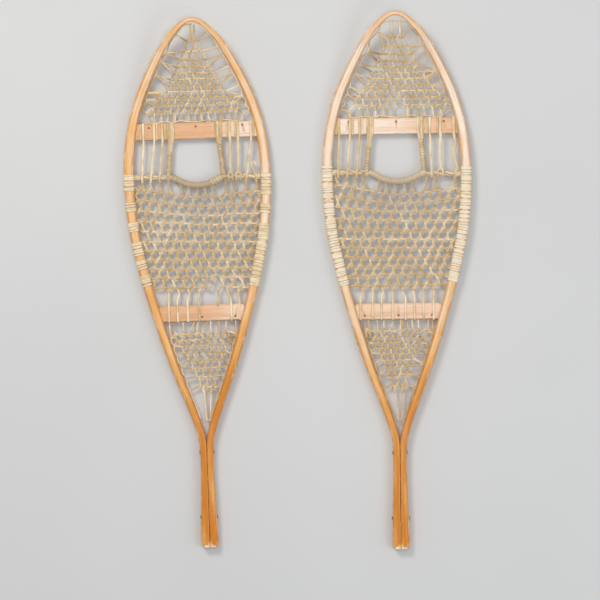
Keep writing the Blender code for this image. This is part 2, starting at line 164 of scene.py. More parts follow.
# X of the places where pairs of body strands are tied to the toe cord, and the sideways shift of the rows
# behind.
TOE_CORD_TIES = {
    "left": (
        -0.147, -0.127, -0.107, -0.087, -0.067, -0.037, -0.02, 0.0, 0.016, 0.0335, 0.0655, 0.085, 0.111,
        0.1365, 0.157,
    ),
    "right": (
        -0.156, -0.1365, -0.115, -0.095, -0.076, -0.04, -0.024, -0.004, 0.0167, 0.034, 0.068, 0.087, 0.11,
        0.133, 0.154,
    ),
}
BODY_SHIFT = {"left": ((1, 0.0), (10, 0.0), (11, 0.005)), "right": ((1, -0.003), (5, -0.001), (8, 0.0))}
TOE_SHIFT = {"left": ((1, 0.0),), "right": ((1, 0.001), (3, 0.002), (5, 0.005), (8, 0.006), (10, 0.009))}
HEEL_SHIFT = {
    "left": ((1, -0.001), (2, 0.002), (3, 0.001), (4, 0.003), (7, 0.006)),
    "right": ((0, -0.004), (5, -0.004), (7, -0.002)),
}

# The heel weave: X of its first crossings, X of its strands at the rear crossbar, which of those are
# doubled, and X, row and distances of its last two strands.
HEEL_TIES = {
    "left": (-0.0677, -0.0449, -0.026, -0.0131, -0.002, 0.018, 0.0375, 0.0543),
    "right": (-0.069, -0.0485, -0.0333, -0.015, 0.0062, 0.019, 0.0305, 0.0447, 0.066),
}
HEEL_BAR_TIES = {
    "left": (-0.066, -0.0449, -0.02, -0.01, 0.0097, 0.019, 0.0375, 0.0543),
    "right": (-0.068, -0.0485, -0.0333, -0.011, 0.007, 0.02, 0.0305, 0.0447, 0.068),
}
HEEL_DOUBLED = {"left": (), "right": (4,)}
HEEL_END = {"left": 0.0060, "right": 0.0}
HEEL_LAST_ROW = 7.45
HEEL_MEETING = 0.895
HEEL_APEX = 0.928
DOUBLED_SPREAD = {"front": 0.0016, "rear": 0.0022}

# The toe weave: where its two longest strands stand in its first row and how far they reach, where the
# lanyard starts, the strands to the front crossbar (first, last, widest X) and which of those are doubled
# or missing.
TOE_TIPS = {"left": (0.25, 0.0200), "right": (0.5, 0.0225)}
TOE_LANYARD_START = {"left": 0.0150, "right": 0.0225}
TOE_DOUBLED = {"left": (1, -3), "right": (1,)}
TOE_MISSING = {"left": (), "right": (0,)}
TOE_STRANDS = (-6, 6, 0.103)

# X of the body's strands on the rear crossbar (None for a missing one), the wide ones, and the broken one.
REAR_STRANDS = {
    "left": (-0.076, -0.056, -0.0325, -0.0065, None, 0.0375, 0.0675, 0.087),
    "right": (-0.0855, -0.058, -0.038, -0.0125, 0.0165, 0.037, 0.0575, 0.08),
}
WIDE_REAR_STRANDS = {"left": (0, 2, 6), "right": (0, 1, 3, 7)}
BROKEN_REAR_STRAND = ("left", 5)

# How far the body weave leans at each row, and the toe cord: back on the right side by this share of X.
BODY_LEAN = {
    "left": ((1, 0.04), (2, 0.05), (5, 0.046), (8, 0.032), (10, 0.017), (12, 0.017)),
    "right": ((1, 0.033), (2, 0.04), (4, 0.026), (6, 0.02), (8, 0.012), (10, -0.006), (12, -0.004)),
}
TOE_CORD_LEAN = 0.020

# Places where strands have parted: the family that parted, X, distance and reach.
BODY_BREAKS = {
    "left": (
        ("left", 0.0165, 0.634, 0.006), ("right", 0.0165, 0.634, 0.006), ("left", 0.012, 0.606, 0.009),
        ("right", 0.03, 0.618, 0.012), ("across", 0.036, 0.615, 0.016), ("across", 0.034, 0.598, 0.007),
    ),
    "right": (
        ("right", 0.111, 0.392, 0.014), ("left", 0.111, 0.392, 0.014), ("left", 0.108, 0.416, 0.008),
        ("right", 0.086, 0.436, 0.009), ("left", 0.045, 0.547, 0.007),
    ),
}
TOE_BREAKS = {
    "left": (
        ("across", 0.038, 0.196, 0.01), ("across", -0.045, 0.212, 0.012), ("left", 0.04, 0.135, 0.007),
    ),
    "right": (
        ("left", -0.026, 0.112, 0.008), ("left", -0.034, 0.128, 0.008), ("across", -0.036, 0.134, 0.009),
        ("across", -0.005, 0.197, 0.02), ("left", 0.03, 0.134, 0.007), ("left", 0.009, 0.2215, 0.008),
        ("right", 0.009, 0.2215, 0.008),
    ),
}
HEEL_BREAKS = {
    "left": (
        ("across", -0.008, 0.7716, 0.014), ("left", 0.0, 0.77, 0.01), ("across", 0.035, 0.7275, 0.034),
    ),
    "right": (("across", 0.03, 0.724, 0.032), ("across", -0.002, 0.738, 0.004)),
}

# How a strand goes from a weave to the edge of each crossbar: three steps of distance.
TO_BAR_STEPS = {"front": (0.003, 0.006, 0.005), "rear": (0.004, 0.004, 0.004)}

# How strands pass over a crossbar: distance from its middle and height above its middle, point by point.
STRAND_OVER_BAR = (
    (-HALF_BAR - 0.0007, -0.004), (-HALF_BAR - 0.0009, 0.002), (-HALF_BAR + 0.0015, BAR_TOP + 0.0007),
    (0.0, BAR_TOP + 0.0009), (HALF_BAR - 0.001, BAR_TOP + 0.0008),
)
CORD_OVER_BAR = (
    (-HALF_BAR - 0.0008, -0.003), (-HALF_BAR - 0.0009, 0.003), (-HALF_BAR + 0.002, BAR_TOP + 0.0008),
    (0.0, BAR_TOP + 0.0010),
)
REAR_OVER_BAR = (
    (-HALF_BAR - 0.012, 0.0035), (-HALF_BAR + 0.001, BAR_TOP + 0.0006), (0.0, BAR_TOP + 0.0008),
    (HALF_BAR - 0.001, BAR_TOP + 0.0006), (HALF_BAR + 0.0009, 0.002), (HALF_BAR + 0.0006, -0.004),
)

# How a front strand passes over the toe cord: distance from the cord and height above the lacing.
OVER_TOE_CORD = ((-0.004, 0.0074), (0.0035, 0.0066), (0.0100, 0.0022))
FRONT_STRAND_HEIGHT = 0.0064

# The rawhide's widths and thicknesses.
BODY_STRAND = (0.0046, 0.0018)
FINE_STRAND = (0.0035, 0.0015)
FRONT_STRAND = (0.0056, 0.0018)
SIDE_STRAND = (0.0044, 0.0018)
TIP_STRAND = (0.0042, 0.0018)
KNOT_STRAND = (0.0034, 0.0022)
LAY_STRAND = (0.0064, 0.0027)
BAND = (0.0048, 0.0012)
LANYARD_STRAND = (0.0031, 0.0024)
WRAP_STRAND = (0.0052, 0.0013)

# A strand's section, as a number of points and how square it is; how its roll and width vary along it; how
# much grime and painted shade darken its edges.
STRAND_POINTS = 10
STRAND_POWER = 0.62
ROLL_WAVE = (70.0, 20.0)
SWELLING = 0.10
SWELLING_WAVES = ((330.0, 40.0), (97.0, 9.0))
EDGE_WEAR_AND_SHADE = 0.5
SAME_PLACE = 1e-6

# The weaves: curve steps between places, strongest tone, how round the holes are, how far strands rise over
# each other, the width between crossings and what it gains there, and the grime and painted shade at ties
# and under and over crossings, the painted shade darkest where a strand passes under another.
WEAVE_STEPS = 3
WEAVE_TONE = 0.85
ROUNDING = 0.040
WEAVE_RISE = 0.58
WEAVE_WIDTHS = (0.92, 0.22)
TIE_GRIME_AND_SHADE = 0.3
CROSSING_GRIME_AND_SHADE = {-1: 0.85, 0: 0.0, 1: 0.45}
KNOT_SPREAD = 0.0017

# Turns round a rail or a bar: curve steps, how square they are, and the wraps' tone, tone range, width
# range, slant, clearance and spacing range.
WRAP_STEPS = 32
WRAP_POWER = 0.42
BAND_POWER = 0.34
BAND_ASIDE = 0.0062
WRAP_TONES = {"left": 0.80, "right": 1.15}
WRAP_TONE_RANGE = 0.20
WRAP_WIDTHS = (0.80, 1.10)
WRAP_SLANTS = (-0.4, 0.7)
WRAP_SLANT = 0.004
WRAP_CLEAR = 0.0007
WRAP_CLEAR_RANGE = 0.0003
WRAP_SPACINGS = (0.98, 1.06)

# The toe cord's lays: number, turns and radius. Windings: radius, spacing and the strand's width and
# thickness.
CORD_LAYS = 5
CORD_TURNS = 2.2
LAY_RADIUS = TOE_CORD_RADIUS - 0.0014
MIDDLE_WINDING = (TOE_CORD_RADIUS + 0.0006, 0.0044, (0.0046, 0.0019))
END_WINDING = (TOE_CORD_RADIUS + 0.0004, 0.0056, (0.0060, 0.0018))
END_WINDING_LENGTH = 0.015
CORNER_WINDING = (TOE_CORD_RADIUS + 0.0024, 0.0064, (0.0062, 0.0022))
CORNER = (0.028, 0.056)
SIDE_WINDING = (0.0051, 0.0062, (0.0062, 0.0017))
POINTS_IN_TURN = 14

# The cords beside the toe hole: spacing of their strands on the bar and where bound, and how far behind the
# bar the binding starts on each side.
SIDE_CORD_SPACINGS = (0.0042, 0.0018)
SIDE_CORD_BOUND = {-1: 0.030, 1: 0.014}

# Where the lanyards are tied through the rails, as distance and inset from the rail.
TOE_LOOPS = {
    ("left", -1): (
        (0.037, 0.003), (0.078, 0.006), (0.098, 0.006), (0.127, 0.006), (0.168, 0.003), (0.186, 0.006),
        (0.217, 0.014),
    ),
    ("left", 1): (
        (0.038, 0.004), (0.067, 0.003), (0.085, 0.004), (0.112, 0.004), (0.127, 0.004), (0.157, 0.003),
        (0.181, 0.007), (0.204, 0.006), (0.224, 0.018),
    ),
    ("right", -1): (
        (0.045, 0.007), (0.089, 0.011), (0.119, 0.008), (0.139, 0.009), (0.167, 0.007), (0.184, 0.007),
        (0.21, 0.009), (0.226, 0.021),
    ),
    ("right", 1): (
        (0.036, 0.006), (0.075, 0.008), (0.09, 0.007), (0.134, 0.006), (0.162, 0.005), (0.178, 0.005),
        (0.206, 0.01), (0.225, 0.021),
    ),
}
HEEL_LOOPS = {
    ("left", -1): (
        (0.737, 0.004), (0.753, 0.006), (0.777, 0.005), (0.799, 0.006), (0.83, 0.006), (0.858, 0.003),
    ),
    ("left", 1): (
        (0.733, 0.002), (0.754, 0.004), (0.777, 0.003), (0.803, 0.003), (0.826, 0.004), (0.853, 0.002),
    ),
    ("right", -1): (
        (0.738, 0.002), (0.752, 0.006), (0.77, 0.005), (0.799, 0.004), (0.825, 0.006), (0.857, 0.002),
    ),
    ("right", 1): (
        (0.732, 0.003), (0.756, 0.008), (0.774, 0.005), (0.8, 0.006), (0.829, 0.006), (0.854, 0.004),
    ),
}
LANYARD_INSET = 0.0022

# A stitch of a lanyard: its reach, and how far outside the rail it lies at shares of that reach.
STITCH_REACH = 0.005
STITCH = ((-1.0, -0.0012), (-0.6, 0.0001), (0.0, 0.0006), (0.6, 0.0001), (1.0, -0.0012))

# The lanyard along the front crossbar: X and distance in front of the bar's toe edge.
BAR_LANYARD = (
    (0.105, 0.0020), (0.088, 0.0018), (0.070, 0.0048), (0.052, 0.0018), (0.034, 0.0058), (0.018, 0.0030),
    (0.0, 0.0014),
)

# The front strands and the cords beside the toe hole: X at the crossbar and at the toe cord; the strands
# that end in a fork, with its width; the wavy strand; and the strand with a loose end beside it, by X,
# distance and height.
FRONT_STRANDS = {
    ("left", -1): ((0.077, 0.087), (0.096, 0.107), (0.121, 0.127)),
    ("left", 1): ((0.078, 0.0765), (0.0965, 0.095), (0.127, 0.114)),
    ("right", -1): ((0.083, 0.091), (0.105, 0.112), (0.13, 0.133)),
    ("right", 1): ((0.076, 0.079), (0.1, 0.099), (0.13, 0.134)),
}
FORKED = {("left", 1): {1: 0.0085, 2: 0.0110}, ("right", 1): {2: 0.0110}}
WAVY_STRAND = ("right", 1, 3)
LOOSE_STRAND = ("left", 1, 3)
LOOSE_END = (
    (0.1335, 0.365, 0.0060), (0.1300, 0.354, 0.0062), (0.1258, 0.344, 0.0075), (0.1285, 0.3355, 0.0085),
    (0.1340, 0.3370, 0.0080), (0.1335, 0.3425, 0.0085),
)
SIDE_CORDS = {
    "left": {-1: (0.058, 0.067), 1: (0.052, 0.061)},
    "right": {-1: (0.06, 0.069), 1: (0.055, 0.062)},
}

# Wraps of the body lacing round each rail: the CAD's five groups, as runs of turns from one distance to
# another.
WRAPS = {
    ("left", -1): (
        ((0.355, 0.395),), ((0.42, 0.441),), ((0.464, 0.485),), ((0.511, 0.541), (0.552, 0.573)),
        ((0.587, 0.614),),
    ),
    ("left", 1): (
        ((0.361, 0.412),), ((0.432, 0.45),), ((0.478, 0.516),), ((0.518, 0.574),), ((0.576, 0.621),),
    ),
    ("right", -1): (
        ((0.349, 0.424),), ((0.426, 0.463),), ((0.465, 0.511),), ((0.513, 0.577),), ((0.579, 0.618),),
    ),
    ("right", 1): (
        ((0.352, 0.424),), ((0.426, 0.463),), ((0.465, 0.511),), ((0.513, 0.577),), ((0.579, 0.616),),
    ),
}

# How pale the wood of each rail is, by distance: honey where it is nought, palest where it is one. Towards
# the toe the paleness is partly the wood's own colour and partly a painted highlight of glare.
PALENESS_AND_GLARE = {
    ("left", -1): (
        (0.0, 0.62), (0.25, 0.6), (0.6, 0.5), (0.64, 0.3), (0.74, 0.42), (0.95, 0.2), (1.0, 0.08),
        (1.1, 0.04), (1.211, 0.1), (1.217, 1.0),
    ),
    ("left", 1): (
        (0.0, 0.58), (0.22, 0.58), (0.3, 0.75), (0.4, 0.82), (0.62, 0.65), (0.72, 0.35), (0.88, 0.04),
        (1.07, 0.16), (1.12, 0.1), (1.211, 0.04), (1.217, 1.0),
    ),
    ("right", -1): (
        (0.0, 0.66), (0.13, 0.88), (0.33, 0.92), (0.62, 0.7), (0.78, 0.5), (0.95, 0.3), (1.1, 0.12),
        (1.211, 0.06), (1.217, 1.0),
    ),
    ("right", 1): (
        (0.0, 0.66), (0.18, 0.9), (0.33, 0.9), (0.62, 0.7), (0.75, 0.5), (0.85, 0.25), (1.08, 0.05),
        (1.211, 0.12), (1.217, 1.0),
    ),
}

# How pale the wood of each crossbar is, by X: honey where it is nought, palest where it is one.
BAR_PALENESS = {
    ("left", "front"): ((-0.14, 0.0), (0.03, 0.15), (0.07, 0.6), (0.1, 0.9)),
    ("right", "front"): ((-0.13, 1.0), (0.0, 0.8), (0.1, 0.35)),
    ("left", "rear"): ((-0.09, 0.1), (0.0, 0.15), (0.08, 0.7)),
    ("right", "rear"): ((-0.1, 0.55), (0.1, 0.6)),
}

# Where the foot has soiled the lacing: the distance of the middle, and the reach across and along the shoe.
SOIL_CENTRE = 0.385
SOIL_REACH = (0.085, 0.075)

# Colours: rawhide from its darkest to its palest, its fibres, a brown for grime and painted shade, and soil;
# the pores of the wood; copper; floor.
HIDE_COLOURS = (
    (0.30, (0.58, 0.38, 0.16)), (0.42, (0.70, 0.49, 0.25)), (0.54, (0.82, 0.63, 0.38)),
    (0.67, (0.98, 0.82, 0.56)), (0.78, (0.99, 0.90, 0.74)),
)
FIBRE_COLOUR = (0.58, 0.37, 0.15)
GRIME_AND_SHADE_COLOUR = (0.17, 0.075, 0.02)
SOIL_COLOUR = (0.46, 0.37, 0.28)
SOIL_STRENGTH = 0.70
PORE_COLOUR = (0.42, 0.15, 0.03)
COPPER_COLOURS = (
    (0.30, (0.10, 0.055, 0.03)), (0.50, (0.42, 0.19, 0.09)), (0.64, (0.74, 0.40, 0.24)),
    (0.74, (0.20, 0.26, 0.17)),
)
FLOOR_COLOURS = ((0.3, (0.67, 0.67, 0.665)), (0.7, (0.70, 0.70, 0.695)))
FLOOR_SIZE = 40.0

# The wood of the bow and of the bars: honey, tan, pale, and the darker orange of the painted shade on
# the rounded edges.
BOW_WOOD = ((0.68, 0.22, 0.006), (0.88, 0.46, 0.13), (0.98, 0.86, 0.72), (0.66, 0.25, 0.04))
BAR_WOOD = ((0.77, 0.42, 0.205), (0.87, 0.55, 0.34), (0.98, 0.84, 0.72), (0.70, 0.37, 0.14))

# The lights: place, diameter, power and colour, each turned to the middle of the floor; and the light all
# round.
LIGHTS = {
    "key": ((-1.6, 2.2, 3.2), 1.6, 72.0, (1.0, 0.97, 0.93)),
    "fill": ((2.4, -1.2, 2.8), 2.4, 30.0, (0.94, 0.97, 1.0)),
    "top": ((0.2, 0.3, 4.2), 1.2, 26.0, (1.0, 1.0, 1.0)),
}
WORLD_COLOUR = (0.95, 0.97, 1.0, 1.0)
WORLD_STRENGTH = 0.42

# The camera looks straight down: its height above the bars, the place under it, and the width it sees
# there.
CAMERA_HEIGHT = 11.5
CAMERA_CENTRE = (0.0056, -0.0451)
CAMERA_FIELD = 1.382
CAMERA_SENSOR = 36.0


def along(stations, distance):
    """The value at a distance, from a table of distance and value."""
    places, values = zip(*stations)
    return np.interp(distance, places, values)


def lift(distance):
    """How far the upturned toe rises at a distance."""
    return TOE_LIFT * np.maximum(0.0, 1.0 - np.asarray(distance) / UPTURN_LENGTH) ** 2


def middle_height(distance):
    """Height of the middle of the rail."""
    return RAIL_BOTTOM + along(RAIL_HEIGHTS, distance) / 2 + lift(distance)


def unit(vectors):
    """Each row of vectors made one long."""
    return vectors / np.maximum(np.linalg.norm(vectors, axis=1), 1e-9)[:, None]


def lengths(path):
    """The distance along a path at each of its points."""
    return np.concatenate(((0.0,), np.cumsum(np.linalg.norm(np.diff(path, axis=0), axis=1))))


def smooth(points, steps):
    """A Catmull-Rom curve through the points, with some steps between each two."""
    points = np.asarray(points, float)
    knots = np.vstack((2 * points[0] - points[1], points, 2 * points[-1] - points[-2]))
    share = np.linspace(0.0, 1.0, steps, endpoint=False)[:, None]
    parts = []
    for before, here, there, after in zip(knots, knots[1:], knots[2:], knots[3:]):
        bend = 2 * before - 5 * here + 4 * there - after
        curl = 3 * here - before - 3 * there + after
        parts.append(here + 0.5 * ((there - before) * share + bend * share ** 2 + curl * share ** 3))
    return np.vstack(parts + [points[-1:]])


def bow_outline():
    """Half of the bow's outer edge, as the CAD draws it: cubic pieces through the outline's points."""
    knots = [Vector(point) for point in OUTLINE]
    knots = [Vector((-knots[1].x, knots[1].y))] + knots + [2 * knots[-1] - knots[-2]]
    line = []
    for before, here, there, after in zip(knots, knots[1:], knots[2:], knots[3:]):
        reach = (there - here).length / 3
        leave = here + (there - before).normalized() * reach
        arrive = there - (after - here).normalized() * reach
        for step in range(OUTLINE_STEPS):
            t = step / OUTLINE_STEPS
            s = 1 - t
            line.append(s ** 3 * here + 3 * s * s * t * leave + 3 * s * t * t * arrive + t ** 3 * there)
    line.append(knots[-2].copy())
    return np.array([tuple(point) for point in line])


class Rail:
    """The right half of the bow: its outer and inner edges and what lies between, all by distance."""

    def __init__(self):
        self.outer = bow_outline()
        run = np.gradient(self.outer, axis=0)
        run[0] = (1.0, 0.0)
        run = unit(run)
        self.inward = np.column_stack((-run[:, 1], run[:, 0]))
        width = along(RAIL_WIDTHS, self.outer[:, 1])
        self.inner = self.outer + self.inward * width[:, None]
        crossed = self.inner[:, 0] < SEAM / 2
        crossed[0] = False
        self.inner[crossed, 0] = SEAM / 2
        self.inner[crossed, 1] = self.outer[crossed, 1]
        self.middle = (self.outer + self.inner) / 2
        self.width = np.linalg.norm(self.outer - self.inner, axis=1)
        self.length = lengths(self.middle)

    def inner_half_width(self, distance):
        """X of the rail's inner edge."""
        return np.interp(distance, self.inner[:, 1], self.inner[:, 0])

    def outer_half_width(self, distance):
        """X of the rail's outer edge."""
        return np.interp(distance, self.outer[:, 1], self.outer[:, 0])

    def at(self, distance):
        """Middle X, the outward direction and the width of the rail at a distance."""
        middle = np.interp(distance, self.middle[:, 1], self.middle[:, 0])
        outward = -np.array([np.interp(distance, self.middle[:, 1], self.inward[:, axis]) for axis in (0, 1)])
        outward /= np.linalg.norm(outward)
        return middle, outward, np.interp(distance, self.middle[:, 1], self.width)


RAIL = Rail()


class Shoe:
    """One shoe's place, read from its two tail rivets, and its own seed for everything irregular."""

    def __init__(self, side, seed):
        self.side = side
        self.body = side + "_snowshoe"
        self.seed = seed
        self.mirror = 1.0 if side == "left" else -1.0
        front, rear = (self.rivet_place(name) for name in ("tail_rivet_front", "tail_rivet_rear"))
        back = rear - front
        self.size = back.length / (RIVET_REAR - RIVET_FRONT)
        self.back = back.normalized()
        self.across = Vector((-self.back.y, self.back.x))
        self.toe = front - self.back * RIVET_FRONT * self.size

    def rivet_place(self, name):
        """The middle of a rivet in the CAD, seen from above."""
        low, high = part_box(f"{self.side}_{name}")
        return Vector(((low[0] + high[0]) / 2, (low[1] + high[1]) / 2))

    def world(self, points):
        """World places of points given as X, distance and height."""
        points = np.asarray(points, float) * self.size
        flat = points[..., 0:1] * np.array(self.across) + points[..., 1:2] * np.array(self.back)
        return np.concatenate((flat + np.array(self.toe), points[..., 2:3]), axis=-1)


class Piece:
    """The mesh of one piece, gathered strip by strip in a shoe's own frame."""

    def __init__(self, shoe, name):
        self.shoe = shoe
        self.name = f"{shoe.side}_{name}"
        self.vertices = []
        self.faces = []
        self.grain = []
        self.tones = []
        self.wear_and_shade = []
        self.count = 0

    def strip(self, rings, grain, tone, wear_and_shade):
        """A closed tube through rings of points (ring, point, XYZ), with both ends closed."""
        rows, columns = rings.shape[:2]
        start = self.count
        index = start + np.arange(rows * columns).reshape(rows, columns)
        beside = np.roll(index, -1, axis=1)
        quads = np.stack((index[:-1], beside[:-1], beside[1:], index[1:]), axis=-1).reshape(-1, 4)
        self.faces.extend(quads.tolist())
        self.faces.append(index[0, ::-1].tolist())
        self.faces.append(index[-1].tolist())
        self.vertices.append(rings.reshape(-1, 3))
        self.grain.append(grain.reshape(-1, 3))
        self.tones.append(np.broadcast_to(tone, (rows, columns)).reshape(-1))
        self.wear_and_shade.append(np.broadcast_to(wear_and_shade, (rows, columns)).reshape(-1))
        self.count += rows * columns

    def strand(self, path, size, tone, up=(0.0, 0.0, 1.0), twist=0.0, wear_and_shade=None, widths=None):
        """A flat rawhide strand along a path, its flat side towards up."""
        path = np.asarray(path, float)
        steps = np.linalg.norm(np.diff(path, axis=0), axis=1)
        path = path[np.concatenate(((True,), steps > SAME_PLACE))]
        run = unit(np.gradient(path, axis=0))
        side = unit(np.cross(run, np.broadcast_to(np.asarray(up, float), path.shape)))
        rise = np.cross(side, run)
        length = lengths(path)
        roll = twist * np.sin(length * ROLL_WAVE[0] + tone * ROLL_WAVE[1])[:, None]
        side, rise = side * np.cos(roll) + rise * np.sin(roll), rise * np.cos(roll) - side * np.sin(roll)
        short_wave, long_wave = (np.sin(length * pace + tone * start) for pace, start in SWELLING_WAVES)
        swelling = 1.0 + SWELLING * short_wave * long_wave
        if widths is not None:
            swelling = swelling * np.asarray(widths)[:len(path)]
        rings, places = [], []
        for across, upward in STRAND_SECTION:
            sideways = across * size[0] / 2 * swelling
            upward = np.full(len(path), upward * size[1] / 2)
            rings.append(path + side * sideways[:, None] + rise * upward[:, None])
            places.append(np.column_stack((length, sideways, upward)))
        # The strand darkens towards its edges with grime and painted shade, and more at crossings and ties.
        edge = STRAND_SECTION[:, 0] ** 2
        wear_and_shade_mask = edge ** 2
        if wear_and_shade is not None:
            wear_and_shade_mask = np.maximum(edge * EDGE_WEAR_AND_SHADE, np.asarray(wear_and_shade)[:len(path), None])
        self.strip(np.stack(rings, axis=1), np.stack(places, axis=1), tone, wear_and_shade_mask)

    def build(self, material, slot, *nodes, sharp=math.radians(50)):
        """The finished piece, riding on its shoe in place of its CAD nodes."""
        mesh = bpy.data.meshes.new(self.name)
        vertices = np.vstack(self.vertices)
        mesh.from_pydata(self.shoe.world(vertices).tolist(), [], self.faces)
        solid = bmesh.new()
        solid.from_mesh(mesh)
        bmesh.ops.recalc_face_normals(solid, faces=solid.faces)
        solid.to_mesh(mesh)
        solid.free()
        grain = mesh.attributes.new("grain", "FLOAT_VECTOR", "POINT")
        grain.data.foreach_set("vector", np.vstack(self.grain).ravel())
        values = {"tone": self.tones, "wear_and_shade": self.wear_and_shade, "soil": [soil(vertices)]}
        for title, parts in values.items():
            attribute = mesh.attributes.new(title, "FLOAT", "POINT")
            attribute.data.foreach_set("value", np.concatenate(parts))
        mesh.polygons.foreach_set("use_smooth", [True] * len(mesh.polygons))
        mesh.set_sharp_from_angle(angle=sharp)
        mesh.materials.append(material)
        piece = bpy.data.objects.new(self.name, mesh)
        bpy.context.scene.collection.objects.link(piece)
        place(piece, self.shoe, slot, *nodes)
        return piece


def place(piece, shoe, slot, *nodes):
    """Says what body a piece rides on and hides the CAD nodes that it stands for; the slot is not used."""
    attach(piece, shoe.body)
    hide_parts(*[f"{shoe.side}_{node}" for node in nodes])


def soil(points):
    """How much the foot has soiled each point, from nought to one."""
    return np.exp(-(points[:, 0] / SOIL_REACH[0]) ** 2 - ((points[:, 1] - SOIL_CENTRE) / SOIL_REACH[1]) ** 2)


def rounded(angle, power):
    """A point on a circle pressed towards a square, within one unit each way."""
    across, upward = math.cos(angle), math.sin(angle)
    return math.copysign(abs(across) ** power, across), math.copysign(abs(upward) ** power, upward)


STRAND_SECTION = np.array([
    rounded(2 * math.pi * (point + 0.5) / STRAND_POINTS, STRAND_POWER) for point in range(STRAND_POINTS)])


class Weave:
    """A three-way hexagonal weave: strands across the shoe, and two slanted families that lock them.

    Rows of holes are numbered by v, and places along a row by u, in hole spacings. Slanted strands cross each
    other on the rows, and the strands across lie half way between rows.
    """

    def __init__(self, shoe, rows, edge, height, size, uneven, breaks, first_places=None, dip=None,
                 lean=((0, 0.0),), shift=((0, 0.0),), bulges=()):
        self.shoe = shoe
        self.numbers, self.distances, self.spacings, self.half_widths = zip(*rows)
        self.edge = edge
        self.height = height
        self.rise = size[1] * WEAVE_RISE
        self.uneven = uneven
        self.breaks = breaks
        self.first_places = first_places
        self.dip = dip
        self.lean = lean
        self.shift = shift
        self.bulges = bulges

    def spot(self, u, v):
        """X and distance of a place in the weave."""
        across = u * np.interp(v, self.numbers, self.spacings) + along(self.shift, v)
        distance = np.interp(v, self.numbers, self.distances)
        if self.first_places:
            count = len(self.first_places)
            first = np.interp(u, np.arange(count) - (count - 1) / 2, self.first_places)
            across += (first - across) * max(0.0, 1.0 - (v - self.numbers[0]))
        if self.dip:
            side = max(0.0, 1.0 - (across / ARC_REACH) ** 2)
            distance += along(self.dip, v) * (side ** 2 - 1.0)
        distance += across * along(self.lean, v)
        shift = noise.noise_vector(Vector(
            (across * UNEVEN_SCALE, distance * UNEVEN_SCALE, self.shoe.seed * UNEVEN_SEED)))
        across += shift.x * self.uneven
        distance += shift.y * self.uneven
        for bulge_across, bulge_distance, reach, strength in self.bulges:
            away = Vector((across - bulge_across, distance - bulge_distance))
            share = max(0.0, 1.0 - away.length / reach)
            if share and away.length:
                across += away.x / away.length * strength * share
                distance += away.y / away.length * strength * share
        return across, distance

    def inside(self, u, v):
        """Whether a place lies in the weave, clear of the rails."""
        across, distance = self.spot(u, v)
        return (abs(across - along(self.shift, v)) <= np.interp(v, self.numbers, self.half_widths)
                and abs(across) <= RAIL.inner_half_width(distance) - self.edge)

    def lines(self):
        """Every strand: its family, its run of places (u, v, over or under), and which ends have parted.

        Strands are cut where they leave the weave and where they have parted. Between its crossings a
        slanted strand bends a little, so that the holes come out round.
        """
        first, last = self.numbers[0], self.numbers[-1]
        widest = max(half_width / spacing for half_width, spacing in zip(self.half_widths, self.spacings))
        reach = 2 + int(widest + (last - first) / 2)
        quarters = np.arange(first, last + 0.01, 0.25)
        candidates = []
        for number in range(-2 * reach, 2 * reach):
            for family, lean in (("right", 1), ("left", -1)):
                places = []
                for v in quarters:
                    bend = ROUNDING * math.sin(2 * math.pi * v)
                    over = 1 if (v % 1 == 0) == (family == "right") else -1
                    places.append((number + 0.5 + lean * (v / 2 - bend), v, 0 if v % 0.5 else over))
                candidates.append((family, places))
        for v in quarters[quarters % 1 == 0.5]:
            places = []
            for quarter in range(-8 * reach, 8 * reach):
                u = quarter / 4
                on_right_leaning = (u - 0.5 - v / 2) % 1 == 0
                crossed = (u - 0.25) % 0.5 == 0
                places.append((u, v, (1 if on_right_leaning else -1) if crossed else 0))
            candidates.append(("across", places))
        for family, places in candidates:
            run, parted_before = [], False
            for spot in places + [None]:
                inside = spot is not None and self.inside(spot[0], spot[1])
                parted = inside and self.broken(family, spot)
                if inside and not parted:
                    run.append(spot)
                    continue
                if len(run) > 1:
                    yield family, run, (parted_before, parted)
                run, parted_before = [], parted

    def broken(self, family, spot):
        """Whether the family's strands have parted at a spot."""
        across, distance = self.spot(spot[0], spot[1])
        return any(family == kind and math.hypot(across - x, distance - d) < reach
                   for kind, x, d, reach in self.breaks)

    def strand_places(self, run):
        """Places of a run: X, distance, height, grime with painted shade, and swelling, strongest at
        crossings.
        """
        places = []
        for u, v, over in run:
            across, distance = self.spot(u, v)
            height = self.height(distance) + over * self.rise
            # Grime and painted shade: darkest where the strand passes under, less where it passes over.
            places.append((across, distance, height, CROSSING_GRIME_AND_SHADE[over], abs(over)))
        return places


def close_to(spot, ties, reach):
    """The nearest of the ties to a spot, or None when all are too far."""
    nearest = min(ties, key=lambda tie: math.hypot(tie[0] - spot[0], tie[1] - spot[1]))
    return nearest if math.hypot(nearest[0] - spot[0], nearest[1] - spot[1]) < reach else None


